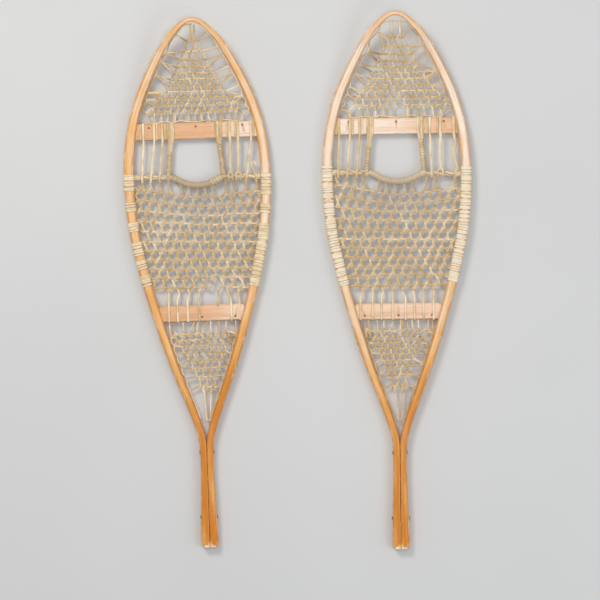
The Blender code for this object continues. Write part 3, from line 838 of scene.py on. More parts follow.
def lay_weave(piece, weave, size, chance, ties, reaches, front=None):
    """Lays every strand of a weave, its cut ends tied to the nearest tie or, at its first row, by front."""
    first, last = weave.numbers[0], weave.numbers[-1]
    across_reach, slanted_reach, spread = reaches
    for family, run, parted in weave.lines():
        places = weave.strand_places(run)
        tone = WEAVE_TONE * chance.random()
        slanted = family != "across"
        for end in (0, -1):
            here = places[end]
            if (slanted and run[end][1] == last) or parted[end]:
                continue
            if slanted and run[end][1] == first:
                knots = front(here, family) if front else []
            else:
                tie = close_to(here, ties, slanted_reach if slanted else across_reach)
                aside = max(-spread, min(spread, here[1] - tie[1])) if tie else 0.0
                # A tie to a rail is darkened with grime and painted shade.
                knots = [(tie[0], tie[1] + aside, tie[2], TIE_GRIME_AND_SHADE, 0.0)] if tie else []
            for knot in knots:
                places.insert(0 if end == 0 else len(places), knot)
        if len(places) < 3:
            continue
        curve = smooth(places, WEAVE_STEPS)
        widths = WEAVE_WIDTHS[0] + WEAVE_WIDTHS[1] * curve[:, 4]
        piece.strand(curve[:, :3], size, tone, twist=0.16, wear_and_shade=curve[:, 3], widths=widths)


def rail_tie(side, distance, inset, height=None):
    """A tie point beside a rail, as X, distance and height."""
    across = side * (RAIL.inner_half_width(distance) - inset)
    return (across, distance, middle_height(distance) if height is None else height)


def toe_cord_distance(across):
    """Where the toe cord's middle lies: straight near the rails, sagging behind the toe hole."""
    sag = TOE_CORD_SAG * max(0.0, 1.0 - (across / TOE_HOLE_HALF_WIDTH) ** 2)
    return TOE_CORD + TOE_CORD_LEAN * across + sag


def flat_height(_distance):
    """The middle height of the body's and the heel's lacing, the same at any distance."""
    return BAR_HEIGHT


def raised(*points):
    """Points given by X, distance and height above the lacing, placed in the shoe's frame."""
    return [(across, distance, BAR_HEIGHT + height) for across, distance, height in points]


def over_bar(title, profile, across):
    """The part of a strand's path that passes over a crossbar at X."""
    return [(across, BARS[title] + away, BAR_HEIGHT + height) for away, height in profile]


def bar_edge(title):
    """The direction from a crossbar to its fine weave, and the distance of the bar's edge on that side."""
    toward = -1 if title == "front" else 1
    return toward, BARS[title] + toward * HALF_BAR


def strand_to_bar(piece, weave, title, spot, end, doubled, chance):
    """A strand, or a pair where doubled, from a spot at a weave's edge to the near edge of a crossbar."""
    x, distance = spot
    toward, edge = bar_edge(title)
    out, back, before = (toward * step for step in TO_BAR_STEPS[title])
    height = weave.height(distance)
    spread = DOUBLED_SPREAD[title]
    for offset in (-spread, spread) if doubled else (0.0,):
        path = [(x + offset, distance + out, height), (x + offset, distance - back, height)]
        path += raised((end + offset, edge + before, 0.0), (end + offset, edge - toward * 0.0005, -0.002))
        piece.strand(smooth(path, 5), FINE_STRAND, chance.random(), twist=0.12)


def body_weave(shoe, chance):
    """The coarse weave under the foot, tied to the toe cord and the rails and round the rear crossbar."""
    bulge = (shoe.mirror * BODY_BULGE[0], *BODY_BULGE[1:])
    weave = Weave(shoe, BODY_ROWS, BODY_EDGE, flat_height, BODY_STRAND, BODY_UNEVEN, BODY_BREAKS[shoe.side],
                  first_places=TOE_CORD_TIES[shoe.side], dip=ARC_DIP, lean=BODY_LEAN[shoe.side],
                  shift=BODY_SHIFT[shoe.side], bulges=(bulge,))
    ties = []
    for side in (-1, 1):
        for row in BODY_TIE_ROWS:
            distance = np.interp(row, weave.numbers, weave.distances) - along(ARC_DIP, row)
            distance += side * RAIL.inner_half_width(distance) * along(BODY_LEAN[shoe.side], row)
            ties.append(rail_tie(side, distance, BODY_TIE_INSET, BAR_HEIGHT))
    piece = Piece(shoe, "body_weave")
    lay_weave(piece, weave, BODY_STRAND, chance, ties, BODY_REACH, toe_cord_knots)
    bar_places = REAR_STRANDS[shoe.side]
    for number, bar_across in enumerate(bar_places):
        if bar_across is not None:
            start = weave.spot(number - (len(bar_places) - 1) / 2, weave.numbers[-1])
            size = FRONT_STRAND if number in WIDE_REAR_STRANDS[shoe.side] else BODY_STRAND
            broken = (shoe.side, number) == BROKEN_REAR_STRAND
            rear_strand(piece, start, bar_across, size, broken, chance)
    return piece


def toe_cord_knots(place_from, family):
    """Where a body strand goes from its first crossing: beside its partner up to the toe cord and over it.

    Each place is X, distance, height, grime with painted shade, and swelling.
    """
    across = place_from[0] + (-KNOT_SPREAD if family == "right" else KNOT_SPREAD)
    cord = toe_cord_distance(across)
    return [(across, cord + TOE_CORD_RADIUS + 0.001, BAR_HEIGHT + 0.002, 0.5, 0.0),
            (across, cord + 0.001, BAR_HEIGHT + TOE_CORD_RADIUS + 0.0012, 0.2, 0.0)]


def rear_strand(piece, start, bar_across, size, broken, chance):
    """A strand from the body weave over and round the rear crossbar, or curled over its edge when broken."""
    x, distance = start
    path = raised((x, distance - 0.004, 0.0), (x, distance + 0.004, 0.001))
    if broken:
        edge = BARS["rear"] - HALF_BAR
        path += raised((x + 0.001, edge - 0.009, 0.003), (x - 0.001, edge - 0.003, BAR_TOP + 0.001),
                       (bar_across, edge + 0.0015, BAR_TOP + 0.0012),
                       (bar_across - 0.003, edge + 0.0030, BAR_TOP + 0.0010))
        piece.strand(smooth(path, 6), size, chance.random(), twist=0.08)
        return
    curve = smooth(path + over_bar("rear", REAR_OVER_BAR, bar_across), 6)
    # The last points turn down the bar's far side and lie flat against it.
    ups = [(0.0, 0.0, 1.0)] * (len(curve) - 10) + [(0.0, 0.7, 0.7)] * 4 + [(0.0, 1.0, 0.0)] * 6
    piece.strand(curve, size, 0.4 + 0.6 * chance.random(), up=ups, twist=0.08)


def toe_weave(shoe, chance):
    """The fine weave of the toe, tied to the lanyard, to the front crossbar and at the toe's tip."""
    weave = Weave(shoe, TOE_ROWS[shoe.side], TOE_EDGE, middle_height, FINE_STRAND, TOE_UNEVEN,
                  TOE_BREAKS[shoe.side], shift=TOE_SHIFT[shoe.side])
    piece = Piece(shoe, "toe_weave")
    lay_weave(piece, weave, FINE_STRAND, chance, loop_ties(shoe, TOE_LOOPS), TOE_REACH)
    place_along, tip = TOE_TIPS[shoe.side]
    for side in (-1, 1):
        x, distance = weave.spot(side * place_along, weave.numbers[0])
        middle = (distance + tip) / 2
        path = [(x, distance + 0.002, middle_height(distance) - 0.001), (x, middle, middle_height(middle)),
                (x * 0.98, tip, middle_height(tip) + 0.002),
                (x * 0.98, tip - 0.0025, middle_height(tip) - 0.001)]
        piece.strand(smooth(path, 6), TIP_STRAND, chance.random(), twist=0.1)
    first, last, widest = TOE_STRANDS
    for number in range(first, last + 1):
        spot = weave.spot(number, weave.numbers[-1])
        if abs(spot[0]) > widest or number in TOE_MISSING[shoe.side]:
            continue
        end = spot[0] * 1.02 + chance.uniform(-0.002, 0.002)
        strand_to_bar(piece, weave, "front", spot, end, number in TOE_DOUBLED[shoe.side], chance)
    return piece


def loop_ties(shoe, loops, height=None):
    """The tie points where a lanyard's loops stand off both rails."""
    return [rail_tie(side, distance, inset, height)
            for side in (-1, 1)
            for distance, inset in loops[shoe.side, side]]


def heel_weave(shoe, chance):
    """The fine weave of the heel, hung from the rear crossbar, with two strands to its far end."""
    weave = Weave(shoe, HEEL_ROWS[shoe.side], HEEL_EDGE, flat_height, FINE_STRAND, HEEL_UNEVEN,
                  HEEL_BREAKS[shoe.side], first_places=HEEL_TIES[shoe.side], shift=HEEL_SHIFT[shoe.side])
    piece = Piece(shoe, "heel_weave")
    lay_weave(piece, weave, FINE_STRAND, chance, loop_ties(shoe, HEEL_LOOPS, BAR_HEIGHT), HEEL_REACH)
    count = len(HEEL_TIES[shoe.side])
    for number, end in enumerate(HEEL_BAR_TIES[shoe.side]):
        spot = weave.spot(number - (count - 1) / 2, weave.numbers[0])
        strand_to_bar(piece, weave, "rear", spot, end, number in HEEL_DOUBLED[shoe.side], chance)
    apex = HEEL_END[shoe.side]
    for side in (-1, 1):
        x, distance = weave.spot(side * 0.5, HEEL_LAST_ROW)
        path = raised((x, distance - 0.002, 0.0), (x - side * 0.001, distance + 0.008, 0.0),
                      (apex + side * 0.006, HEEL_MEETING, 0.0),
                      (apex + side * 0.0042, HEEL_APEX - 0.002, 0.0))
        piece.strand(smooth(path, 8), FINE_STRAND, 0.5 + 0.5 * chance.random(), twist=0.14)
    knot = raised((apex - 0.0055, HEEL_APEX - 0.003, 0.0), (apex, HEEL_APEX - 0.001, 0.001),
                  (apex + 0.0055, HEEL_APEX - 0.003, 0.0))
    piece.strand(smooth(knot, 6), KNOT_STRAND, chance.random())
    return piece


def lanyard(shoe, chance, name, ties, start, end):
    """A cord from loop to loop inside the bow, touching the rail between them and stitched through it."""
    piece = Piece(shoe, name)
    for side in (-1, 1):
        places = list(start[side])
        before = None
        for tie in [tie for tie in ties if tie[0] * side > 0]:
            if before is not None:
                between = (before[1] + tie[1]) / 2
                places.append(rail_tie(side, between, LANYARD_INSET, tie[2]))
            places.append(tie)
            before = tie
            stitch(piece, side, tie[1], chance)
        places.append(end[side])
        piece.strand(smooth(places, 8), LANYARD_STRAND, chance.random(), twist=0.3)
    return piece


def stitch(piece, side, distance, chance):
    """The short turn that a lanyard shows on the outside of the rail, where it goes through for a loop."""
    path = []
    for share, out in STITCH:
        back = distance + share * STITCH_REACH
        path.append((side * (RAIL.outer_half_width(back) + out), back, middle_height(back)))
    piece.strand(smooth(path, 4), LANYARD_STRAND, chance.random())


def toe_lanyard(shoe, chance):
    """The lanyard of the toe, which starts at the tip and also runs along the front crossbar."""
    first = TOE_LANYARD_START[shoe.side]
    _, edge = bar_edge("front")
    starts, ends = {}, {}
    for side in (-1, 1):
        starts[side] = [(0.0, first, middle_height(first))]
        starts[side] += [rail_tie(side, first + away, 0.0015) for away in (0.003, 0.010)]
        ends[side] = (side * BAR_LANYARD[0][0], edge - BAR_LANYARD[0][1], BAR_HEIGHT)
    piece = lanyard(shoe, chance, "toe_cord_of_lanyard", loop_ties(shoe, TOE_LOOPS), starts, ends)
    for side in (-1, 1):
        arc = [(side * across, edge - away, BAR_HEIGHT) for across, away in BAR_LANYARD]
        piece.strand(smooth(arc, 6), LANYARD_STRAND, chance.random(), twist=0.2)
    return piece


def heel_lanyard(shoe, chance):
    """The lanyard of the heel, from the rear crossbar's outer holes to where the rails close."""
    _, edge = bar_edge("rear")
    starts = {side: [(side * BAR_HOLES["rear"][-1], edge + 0.0015, BAR_HEIGHT)] for side in (-1, 1)}
    ends = {side: rail_tie(side, HEEL_APEX - 0.006, LANYARD_INSET, BAR_HEIGHT) for side in (-1, 1)}
    ties = loop_ties(shoe, HEEL_LOOPS, BAR_HEIGHT)
    return lanyard(shoe, chance, "heel_cord_of_lanyard", ties, starts, ends)


def cord_frame(path):
    """Directions beside and above a path that stays nearly level."""
    run = unit(np.gradient(path, axis=0))
    side = unit(np.cross(run, (0.0, 0.0, 1.0)))
    return side, np.cross(side, run)


def twisted(piece, path, chance):
    """Strands laid side by side around a path like the lays of a rope."""
    side, rise = cord_frame(path)
    share = np.linspace(0.0, 1.0, len(path))
    for lay in range(CORD_LAYS):
        angle = 2 * math.pi * (lay / CORD_LAYS + CORD_TURNS * share)
        outward = side * np.cos(angle)[:, None] + rise * np.sin(angle)[:, None]
        piece.strand(path + outward * LAY_RADIUS, LAY_STRAND, 0.7 + 0.3 * chance.random(), up=outward)


def toe_cord(shoe, chance):
    """The thick cord behind the toe hole: long strands side by side, bound with turns along its sag."""
    reach = RAIL.inner_half_width(TOE_CORD)
    path = np.array([(across, toe_cord_distance(across), BAR_HEIGHT)
                     for across in np.linspace(-reach, reach, 160)])
    across = path[:, 0]
    piece = Piece(shoe, "toe_cord_strands")
    twisted(piece, path, chance)
    wind(piece, smooth(path[np.abs(across) < SIDE_CORDS[shoe.side][1][1]], 4), MIDDLE_WINDING, chance)
    for side in (-1, 1):
        wind(piece, smooth(path[across * side > reach - END_WINDING_LENGTH], 4), END_WINDING, chance)
    if shoe.side == "left":
        wind(piece, smooth(path[(across > CORNER[0]) & (across < CORNER[1])], 4), CORNER_WINDING, chance)
    return piece


def wind(piece, path, winding, chance):
    """One strand wound round a path in close turns."""
    radius, spacing, size = winding
    side, rise = cord_frame(path)
    length = lengths(path)
    where = np.linspace(0.0, length[-1], int(length[-1] / spacing * POINTS_IN_TURN))
    middle, sideways, upward = (
        np.column_stack([np.interp(where, length, values[:, axis]) for axis in range(3)])
        for values in (path, side, rise))
    start = chance.random() * 2 * math.pi
    angle = start + 2 * math.pi * where / spacing + 0.5 * np.sin(where * 90.0 + start)
    outward = sideways * np.cos(angle)[:, None] + upward * np.sin(angle)[:, None]
    piece.strand(middle + outward * radius, size, chance.random(), up=outward)


def toe_hole_cord(shoe, chance, side, title):
    """The cord at one side of the toe hole: strands bound with turns, spread over the crossbar."""
    piece = Piece(shoe, f"toe_hole_cord_{title}_strands")
    tail_edge = BARS["front"] + HALF_BAR
    start, end = (side * across for across in SIDE_CORDS[shoe.side][side])
    bound_from = tail_edge + SIDE_CORD_BOUND[side]

    def across_at(distance):
        return start + (end - start) * max(0.0, (distance - tail_edge) / (TOE_CORD - tail_edge))

    for spread in (-1.5, -0.5, 0.5, 1.5):
        aside, tight = (spread * spacing for spacing in SIDE_CORD_SPACINGS)
        path = over_bar("front", CORD_OVER_BAR, start + aside)
        path += raised((start + aside * 0.9, tail_edge - 0.002, BAR_TOP + 0.0008))
        path += raised(*((across_at(distance) + tight, distance, height) for distance, height in (
            (tail_edge + 0.016, 0.004), (bound_from + 0.006, 0.0035),
            (TOE_CORD - 0.004, 0.0062), (TOE_CORD + 0.0060, 0.0030))))
        piece.strand(smooth(path, 6), SIDE_STRAND, chance.random(), twist=0.1)
    bound = raised(*((across_at(distance), distance, 0.0032)
                     for distance in np.linspace(bound_from, TOE_CORD - 0.005, 24)))
    wind(piece, np.array(bound), SIDE_WINDING, chance)
    return piece


def bar_band(piece, title, across, size, chance):
    """A flat turn of rawhide round a crossbar."""
    half = HALF_BAR + size[1] / 2
    tall = BAR_TOP + size[1] / 2
    places, ups = [], []
    for step in range(WRAP_STEPS + 1):
        angle = 2 * math.pi * step / WRAP_STEPS
        sideways, upward = rounded(angle, BAND_POWER)
        places.append((across, BARS[title] + half * sideways, BAR_HEIGHT + tall * upward))
        lean_side, lean_up = rounded(angle, 2 - BAND_POWER)
        ups.append((0.0, lean_side / half, lean_up / tall))
    piece.strand(places, size, chance.random(), up=ups)


def front_strand(shoe, chance, side, title, number):
    """A strand from under the front crossbar over it and the toe cord, and a flat turn beside it."""
    piece = Piece(shoe, f"front_strand_{title}_{number}_cord")
    tail_edge = BARS["front"] + HALF_BAR
    start, end = (side * across for across in FRONT_STRANDS[shoe.side, side][number - 1])
    wavy = (shoe.side, side, number) == WAVY_STRAND
    fork = FORKED.get((shoe.side, side), {}).get(number, 0.0)
    ends = (-fork / 2, fork / 2) if fork else (-0.0014, 0.0014) if wavy else (0.0,)
    for foot in ends:
        wave = 0.0032 if wavy else chance.uniform(0.0, 0.0008)
        beside = math.copysign(0.0010, foot) if foot else 0.0
        path = over_bar("front", STRAND_OVER_BAR, start + beside)
        for share in (0.25, 0.5, 0.75, 0.88):
            across = start + (end - start) * share + beside + wave * math.sin(9.0 * share)
            path += raised((across, tail_edge + (TOE_CORD - tail_edge) * share, FRONT_STRAND_HEIGHT))
        path += raised(*((end + foot, TOE_CORD + away, height) for away, height in OVER_TOE_CORD))
        size = BODY_STRAND if len(ends) > 1 else FRONT_STRAND
        piece.strand(smooth(path, 6), size, 0.4 + 0.6 * chance.random(), twist=0.12)
    if (shoe.side, side, number) == LOOSE_STRAND:
        piece.strand(smooth(raised(*LOOSE_END), 6), FINE_STRAND, chance.random(), twist=0.2)
    beside = BAND_ASIDE if number == 3 else -BAND_ASIDE
    bar_band(piece, "front", start + side * beside, BAND, chance)
    return piece


def round_rail(distance, share, clear):
    """A point of a turn round the right rail at a share of the way round, and the direction outward there."""
    middle, outward, width = RAIL.at(distance)
    half = width / 2 + clear
    tall = along(RAIL_HEIGHTS, distance) / 2 + clear
    angle = 2 * math.pi * share
    sideways, upward = rounded(angle, WRAP_POWER)
    point = (middle + outward[0] * half * sideways, distance + outward[1] * half * sideways,
             middle_height(distance) + tall * upward)
    lean_side, lean_up = rounded(angle, 2 - WRAP_POWER)
    lean_side, lean_up = lean_side / half, lean_up / tall
    direction = np.array((outward[0] * lean_side, outward[1] * lean_side, lean_up))
    return point, direction / np.linalg.norm(direction)


def rail_wrap(shoe, chance, side, title, number):
    """A group of turns of flat rawhide round a rail."""
    piece = Piece(shoe, f"rail_wrap_{title}_{number}_turns")
    for first, last in WRAPS[shoe.side, side][number - 1]:
        distance = first + WRAP_STRAND[0] / 2
        while distance < last:
            width = WRAP_STRAND[0] * chance.uniform(*WRAP_WIDTHS)
            slant = chance.uniform(*WRAP_SLANTS) * WRAP_SLANT
            clear = WRAP_CLEAR + chance.uniform(0.0, WRAP_CLEAR_RANGE)
            places, ups = [], []
            for step in range(WRAP_STEPS + 1):
                drift = slant * math.sin(math.pi * step / WRAP_STEPS)
                point, up = round_rail(distance + drift, step / WRAP_STEPS + 0.5, clear)
                places.append((side * point[0], point[1], point[2]))
                ups.append((side * up[0], up[1], up[2]))
            tone = WRAP_TONES[shoe.side] + WRAP_TONE_RANGE * chance.random()
            piece.strand(places, (width, WRAP_STRAND[1]), tone, up=ups)
            distance += width * chance.uniform(*WRAP_SPACINGS)
    return piece


def bow(shoe):
    """The bent stave, from the left rail's end round the toe to the right rail's end."""
    piece = Piece(shoe, "bow")
    order = [(-1, index) for index in range(len(RAIL.middle) - 1, 0, -1)]
    order += [(1, index) for index in range(len(RAIL.middle))]
    rings, grains, wear_and_shade_rows, tones = [], [], [], []
    for side, index in order:
        outer, inner = RAIL.outer[index], RAIL.inner[index]
        distance, width = RAIL.middle[index][1], RAIL.width[index]
        tall = float(along(RAIL_HEIGHTS, distance))
        middle_z = float(middle_height(distance))
        power = float(along(BOW_POWERS, distance))
        uneven = noise.noise(Vector((side * 3.0, distance * 14.0, shoe.seed))) * BOW_UNEVEN
        ring, grain, wear_and_shade = [], [], []
        for step in range(BOW_POINTS):
            angle = 2 * math.pi * (step + 0.5) / BOW_POINTS
            sideways, upward = rounded(angle, power)
            flat = inner + (outer - inner) * (sideways + 1) / 2
            ring.append((side * flat[0] + uneven, flat[1], middle_z + upward * tall / 2 + uneven * 0.5))
            grain.append((side * RAIL.length[index], sideways * width / 2, upward * tall / 2))
            # Corners carry rubbed wear and painted shade, strongest at the section's corners.
            wear_and_shade.append(abs(math.sin(2 * angle)) ** 3)
        rings.append(ring)
        grains.append(grain)
        wear_and_shade_rows.append(wear_and_shade)
        # The rail's paleness, partly a painted highlight of glare towards the toe.
        tones.append(along(PALENESS_AND_GLARE[shoe.side, side], distance))
    piece.strip(np.array(rings), np.array(grains), np.array(tones)[:, None], np.array(wear_and_shade_rows))
    return piece


def crossbar(shoe, title):
    """A flat bar with rounded corners, cut to the rails at its ends."""
    piece = Piece(shoe, f"{title}_bar")
    centre = BARS[title]
    half = HALF_BAR - BAR_ROUNDING
    section = []
    for corner in range(4):
        for share in np.linspace(0.0, 1.0, BAR_CORNER_STEPS + 1):
            angle = math.pi / 2 * (corner + share)
            toward_toe, low = corner in (1, 2), corner in (2, 3)
            # The last value is the corner's rubbed wear and painted shade, strongest half way round the
            # rounding.
            section.append((math.cos(angle), math.sin(angle), toward_toe, low, math.sin(math.pi * share)))
    rings, grains, wear_and_shade_rows, tones = [], [], [], []
    for share in np.linspace(-1.0, 1.0, BAR_RINGS):
        ring, grain, wear_and_shade = [], [], []
        shoulder = (abs(share) - (1.0 - SHOULDER_LENGTH)) / SHOULDER_LENGTH if title == "rear" else 0.0
        cut = SHOULDER_CUT * (1.0 - math.sqrt(max(0.0, 1.0 - max(0.0, shoulder) ** 2)))
        bend = noise.noise(Vector((share * 3.0, shoe.seed, centre * 9.0))) * BAR_UNEVEN
        for cosine, sine, toward_toe, low, wear_and_shade_mask in section:
            distance = centre + (-half + cut if toward_toe else half) + cosine * BAR_ROUNDING
            upward = (-1 if low else 1) * (BAR_TOP - BAR_ROUNDING) + sine * BAR_ROUNDING
            across = share * (RAIL.inner_half_width(distance) + TENON)
            ring.append((across, distance + bend, BAR_HEIGHT + upward))
            grain.append((across, distance - centre, upward))
            wear_and_shade.append(wear_and_shade_mask)
        rings.append(ring)
        grains.append(grain)
        wear_and_shade_rows.append(wear_and_shade)
        tones.append(along(BAR_PALENESS[shoe.side, title], share * RAIL.inner_half_width(centre)))
    piece.strip(np.array(rings), np.array(grains), np.array(tones)[:, None], np.array(wear_and_shade_rows))
    return piece


def drill(shoe, bar, title):
    """Cuts the lanyard holes through a crossbar, near the edge towards the fine weave."""
    toward, edge = bar_edge(title)
    row = edge - toward * HOLE_MARGIN
    vertices, faces = [], []
    for across in BAR_HOLES[title]:
        start = len(vertices)
        for height in DRILL_HEIGHTS:
            for step in range(HOLE_POINTS):
                angle = 2 * math.pi * step / HOLE_POINTS
                vertices.append((across + math.cos(angle) * HOLE_RADIUS,
                                 row + math.sin(angle) * HOLE_RADIUS, height))
        ring = list(range(start, start + HOLE_POINTS))
        faces.append(ring)
        faces.append([point + HOLE_POINTS for point in reversed(ring)])
        for here, there in zip(ring, ring[1:] + ring[:1]):
            faces.append((there, here, here + HOLE_POINTS, there + HOLE_POINTS))
    mesh = bpy.data.meshes.new("drill")
    mesh.from_pydata(shoe.world(vertices).tolist(), [], faces)
    tool = bpy.data.objects.new("drill", mesh)
    bpy.context.scene.collection.objects.link(tool)
    cut = bar.modifiers.new("holes", "BOOLEAN")
    cut.object = tool
    cut.solver = "EXACT"
    graph = bpy.context.evaluated_depsgraph_get()
    drilled = bpy.data.meshes.new_from_object(bar.evaluated_get(graph), preserve_all_data_layers=True,
                                              depsgraph=graph)
    bar.modifiers.clear()
    bar.data = drilled
    bpy.data.objects.remove(tool)


class Finish:
    """A material in the making: adds nodes and joins them to the shader's sockets."""

    def __init__(self, name):
        self.material = bpy.data.materials.new(name)
        self.material.use_nodes = True
        self.nodes = self.material.node_tree.nodes
        self.shader = self.nodes["Principled BSDF"]

    def join(self, value, socket):
        """Links a node's output to a socket, or gives the socket a value."""
        if isinstance(value, bpy.types.NodeSocket):
            self.material.node_tree.links.new(value, socket)
        else:
            socket.default_value = value

    def add(self, kind, **inputs):
        """A new node, with the named inputs joined."""
        node = self.nodes.new("ShaderNode" + kind)
        for name, value in inputs.items():
            self.join(value, node.inputs[name])
        return node

    def attribute(self, name, output="Fac"):
        """A value that the mesh carries at each point."""
        node = self.add("Attribute")
        node.attribute_name = name
        return node.outputs[output]

    def noise(self, vector, scale, detail=4.0, roughness=0.55, stretch=None):
        """Noise from nought to one, finer along the axes where the stretch is larger."""
        if stretch:
            vector = self.add("Mapping", Scale=stretch, Vector=vector).outputs["Vector"]
        node = self.add("TexNoise", Vector=vector, Scale=scale, Detail=detail, Roughness=roughness)
        return node.outputs["Fac"]

    def ramp(self, factor, *stops):
        """Colours or grey values between stops of position and value."""
        node = self.add("ValToRGB", Fac=factor)
        elements = node.color_ramp.elements
        while len(elements) < len(stops):
            elements.new(0.5)
        for element, (position, value) in zip(elements, stops):
            element.position = position
            element.color = (*value, 1.0) if isinstance(value, tuple) else (value, value, value, 1.0)
        return node.outputs["Color"]

    def mix(self, factor, first, second):
        """A colour between two."""
        node = self.add("Mix")
        node.data_type = "RGBA"
        self.join(factor, node.inputs["Factor"])
        for value, socket in ((first, node.inputs[6]), (second, node.inputs[7])):
            self.join((*value, 1.0) if isinstance(value, tuple) else value, socket)
        return node.outputs[2]

    def math(self, operation, first, second):
        """Arithmetic, kept between nought and one."""
        node = self.add("Math")
        node.operation = operation
        node.use_clamp = True
        self.join(first, node.inputs[0])
        self.join(second, node.inputs[1])
        return node.outputs[0]

    def shift(self, vector, amount):
        """A vector moved by the same amount along each axis."""
        node = self.add("VectorMath")
        self.join(vector, node.inputs[0])
        self.join(amount, node.inputs[1])
        return node.outputs[0]

    def bump(self, height, strength, distance):
        """Fine relief on the shader."""
        node = self.add("Bump", Strength=strength, Distance=distance, Height=height)
        self.join(node.outputs["Normal"], self.shader.inputs["Normal"])

    def paint(self, sockets):
        """Joins values to the shader's sockets by name."""
        for name, value in sockets.items():
            self.join(value, self.shader.inputs[name])


def rawhide():
    """Varnished rawhide: cream to amber, fibrous along the strand, grime and painted shade at crossings."""
    finish = Finish("rawhide")
    tone = finish.attribute("tone")
    wear_and_shade = finish.attribute("wear_and_shade")
    grain = finish.shift(finish.attribute("grain", "Vector"), tone)
    blotches = finish.noise(grain, 34.0, 3.0)
    fibre = finish.noise(grain, 1.0, 3.0, stretch=(160.0, 1300.0, 1300.0))
    mixed = finish.math("ADD", finish.math("MULTIPLY", blotches, 0.70), finish.math("MULTIPLY", tone, 0.30))
    colour = finish.ramp(mixed, *HIDE_COLOURS)
    colour = finish.mix(finish.ramp(fibre, (0.35, 0.0), (0.65, 0.30)), colour, FIBRE_COLOUR)
    # Grime and painted shade: darker brown at crossings, ties and strand edges, patchy with the blotches.
    grime_and_shade = finish.math("MULTIPLY", finish.ramp(wear_and_shade, (0.22, 0.0), (0.85, 0.78)),
                       finish.ramp(blotches, (0.30, 1.0), (0.65, 0.45)))
    colour = finish.mix(grime_and_shade, colour, GRIME_AND_SHADE_COLOUR)
    soiled = finish.math("MULTIPLY", finish.attribute("soil"), SOIL_STRENGTH)
    colour = finish.mix(soiled, colour, SOIL_COLOUR)
    finish.paint({"Base Color": colour, "Roughness": finish.ramp(fibre, (0.3, 0.38), (0.7, 0.60)),
                  "Specular IOR Level": 0.35, "Coat Weight": 0.12, "Coat Roughness": 0.25})
    finish.bump(fibre, 0.35, 0.0004)
    return finish.material


def wood(name, honey, tan, pale, edge):
    """Varnished ash: bent grain, dark pores, corners with painted shade and wear; the tone says how pale."""
    finish = Finish(name)
    grain = finish.attribute("grain", "Vector")
    wear_and_shade = finish.attribute("wear_and_shade")
    rings = finish.noise(grain, 1.0, 4.0, 0.6, stretch=(5.0, 170.0, 120.0))
    streaks = finish.noise(grain, 1.0, 3.0, 0.6, stretch=(14.0, 900.0, 900.0))
    patches = finish.noise(grain, 1.0, 4.0, 0.6, stretch=(16.0, 60.0, 60.0))
    paleness = finish.math("ADD", finish.attribute("tone"), finish.ramp(patches, (0.35, 0.0), (0.70, 0.22)))
    paleness = finish.math("SUBTRACT", paleness, finish.ramp(rings, (0.38, 0.0), (0.62, 0.26)))
    colour = finish.ramp(paleness, (0.0, honey), (0.42, tan), (1.0, pale))
    # Painted shade: the rounded corners darken towards the edge colour.
    colour = finish.mix(finish.ramp(wear_and_shade, (0.10, 0.0), (0.75, 0.60)), colour, edge)
    colour = finish.mix(finish.ramp(streaks, (0.34, 0.45), (0.48, 0.0)), colour, PORE_COLOUR)
    scuffs = finish.noise(grain, 1.0, 4.0, stretch=(30.0, 60.0, 60.0))
    rubbed = finish.math("MULTIPLY", finish.ramp(wear_and_shade, (0.45, 0.0), (0.95, 0.70)),
                         finish.ramp(scuffs, (0.52, 0.0), (0.64, 1.0)))
    colour = finish.mix(rubbed, colour, pale)
    finish.paint({"Base Color": colour, "Roughness": finish.ramp(patches, (0.3, 0.34), (0.7, 0.50)),
                  "Specular IOR Level": 0.35, "Coat Weight": 0.15, "Coat Roughness": 0.22})
    finish.bump(streaks, 0.22, 0.0004)
    return finish.material


def copper():
    """Aged copper: brown with green-grey in its hollows and worn bright spots."""
    finish = Finish("aged_copper")
    place_in = finish.add("TexCoord").outputs["Object"]
    blotches = finish.noise(place_in, 260.0, 5.0)
    scratches = finish.noise(place_in, 1400.0, 3.0)
    finish.paint({"Base Color": finish.ramp(blotches, *COPPER_COLOURS), "Metallic": 1.0,
                  "Roughness": finish.ramp(blotches, (0.35, 0.30), (0.70, 0.62))})
    finish.bump(scratches, 0.2, 0.0003)
    return finish.material


def floor():
    """A plain pale floor."""
    finish = Finish("floor")
    cloud = finish.noise(finish.add("TexCoord").outputs["Object"], 1.5, 2.0)
    finish.paint({"Base Color": finish.ramp(cloud, *FLOOR_COLOURS), "Roughness": 0.85})
    bpy.ops.mesh.primitive_plane_add(size=FLOOR_SIZE, location=(0.0, 0.0, 0.0))
    plane = bpy.context.object
    plane.name = "floor"
    plane.data.materials.append(finish.material)


def light(name, place_at, size, power, colour):
    """A round soft light turned to the middle of the floor."""
    lamp = bpy.data.lights.new(name, "AREA")
    lamp.shape = "DISK"
    lamp.size = size
    lamp.energy = power
    lamp.color = colour
    holder = bpy.data.objects.new(name, lamp)
    holder.location = place_at
    holder.rotation_euler = (-Vector(place_at)).to_track_quat("-Z", "Y").to_euler()
    bpy.context.scene.collection.objects.link(holder)


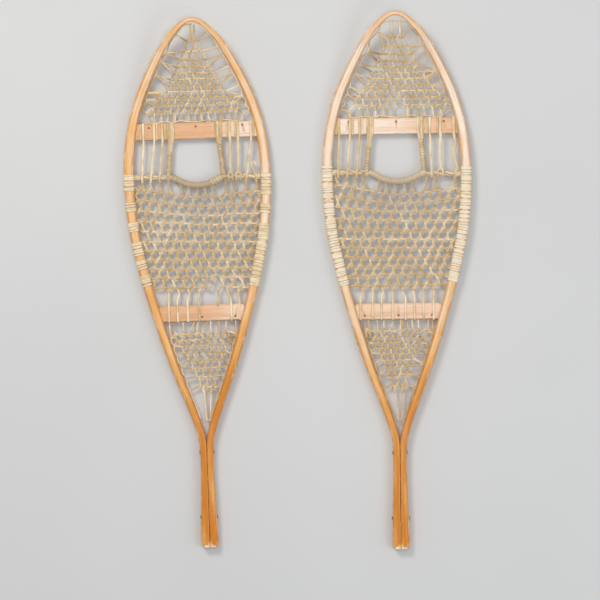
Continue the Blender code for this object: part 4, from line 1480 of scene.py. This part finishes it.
def studio():
    """Soft light from above the toes and from both sides, and a camera looking straight down."""
    for name, settings in LIGHTS.items():
        light(name, *settings)
    scene = bpy.context.scene
    scene.world = bpy.data.worlds.new("studio")
    scene.world.use_nodes = True
    background = scene.world.node_tree.nodes["Background"]
    background.inputs["Color"].default_value = WORLD_COLOUR
    background.inputs["Strength"].default_value = WORLD_STRENGTH
    camera = bpy.data.cameras.new("camera")
    camera.sensor_width = CAMERA_SENSOR
    camera.lens = CAMERA_SENSOR * CAMERA_HEIGHT / CAMERA_FIELD
    camera.clip_end = CAMERA_HEIGHT * 3
    holder = bpy.data.objects.new("camera", camera)
    holder.location = (*CAMERA_CENTRE, CAMERA_HEIGHT + BAR_HEIGHT)
    scene.collection.objects.link(holder)
    bpy.context.scene.camera = holder
    scene.view_settings.view_transform = "Standard"


def build_shoe(side, seed, finishes):
    """Every piece of one shoe."""
    shoe = Shoe(side, seed)
    chance = random.Random(seed)
    bow(shoe).build(finishes["bow"], "ash", "frame")
    for title in ("front", "rear"):
        bar = crossbar(shoe, title).build(finishes["bar"], "ash", f"{title}_crossbar")
        drill(shoe, bar, title)
        rivet = bpy.data.objects[f"{side}_tail_rivet_{title}"]
        rivet.data.materials.clear()
        rivet.data.materials.append(finishes["copper"])
    hide = finishes["hide"]
    for make, node in ((body_weave, "body_lacing"), (toe_weave, "toe_lacing"), (heel_weave, "heel_lacing"),
                       (toe_lanyard, "toe_lanyard"), (heel_lanyard, "heel_lanyard"), (toe_cord, "toe_cord")):
        make(shoe, chance).build(hide, "rawhide", node)
    for direction, title in ((-1, "left"), (1, "right")):
        toe_hole_cord(shoe, chance, direction, title).build(hide, "rawhide", f"toe_hole_cord_{title}")
        for number in range(1, len(FRONT_STRANDS[side, direction]) + 1):
            strand = front_strand(shoe, chance, direction, title, number)
            strand.build(hide, "rawhide", f"front_strand_{title}_{number}")
        for number in range(1, len(WRAPS[side, direction]) + 1):
            wrap = rail_wrap(shoe, chance, direction, title, number)
            wrap.build(hide, "rawhide", f"rail_wrap_{title}_{number}")


FINISHES = {
    "hide": rawhide(),
    "bow": wood("varnished_ash", *BOW_WOOD),
    "bar": wood("varnished_ash_bar", *BAR_WOOD),
    "copper": copper(),
}
build_shoe("left", 11, FINISHES)
build_shoe("right", 29, FINISHES)
floor()
studio()
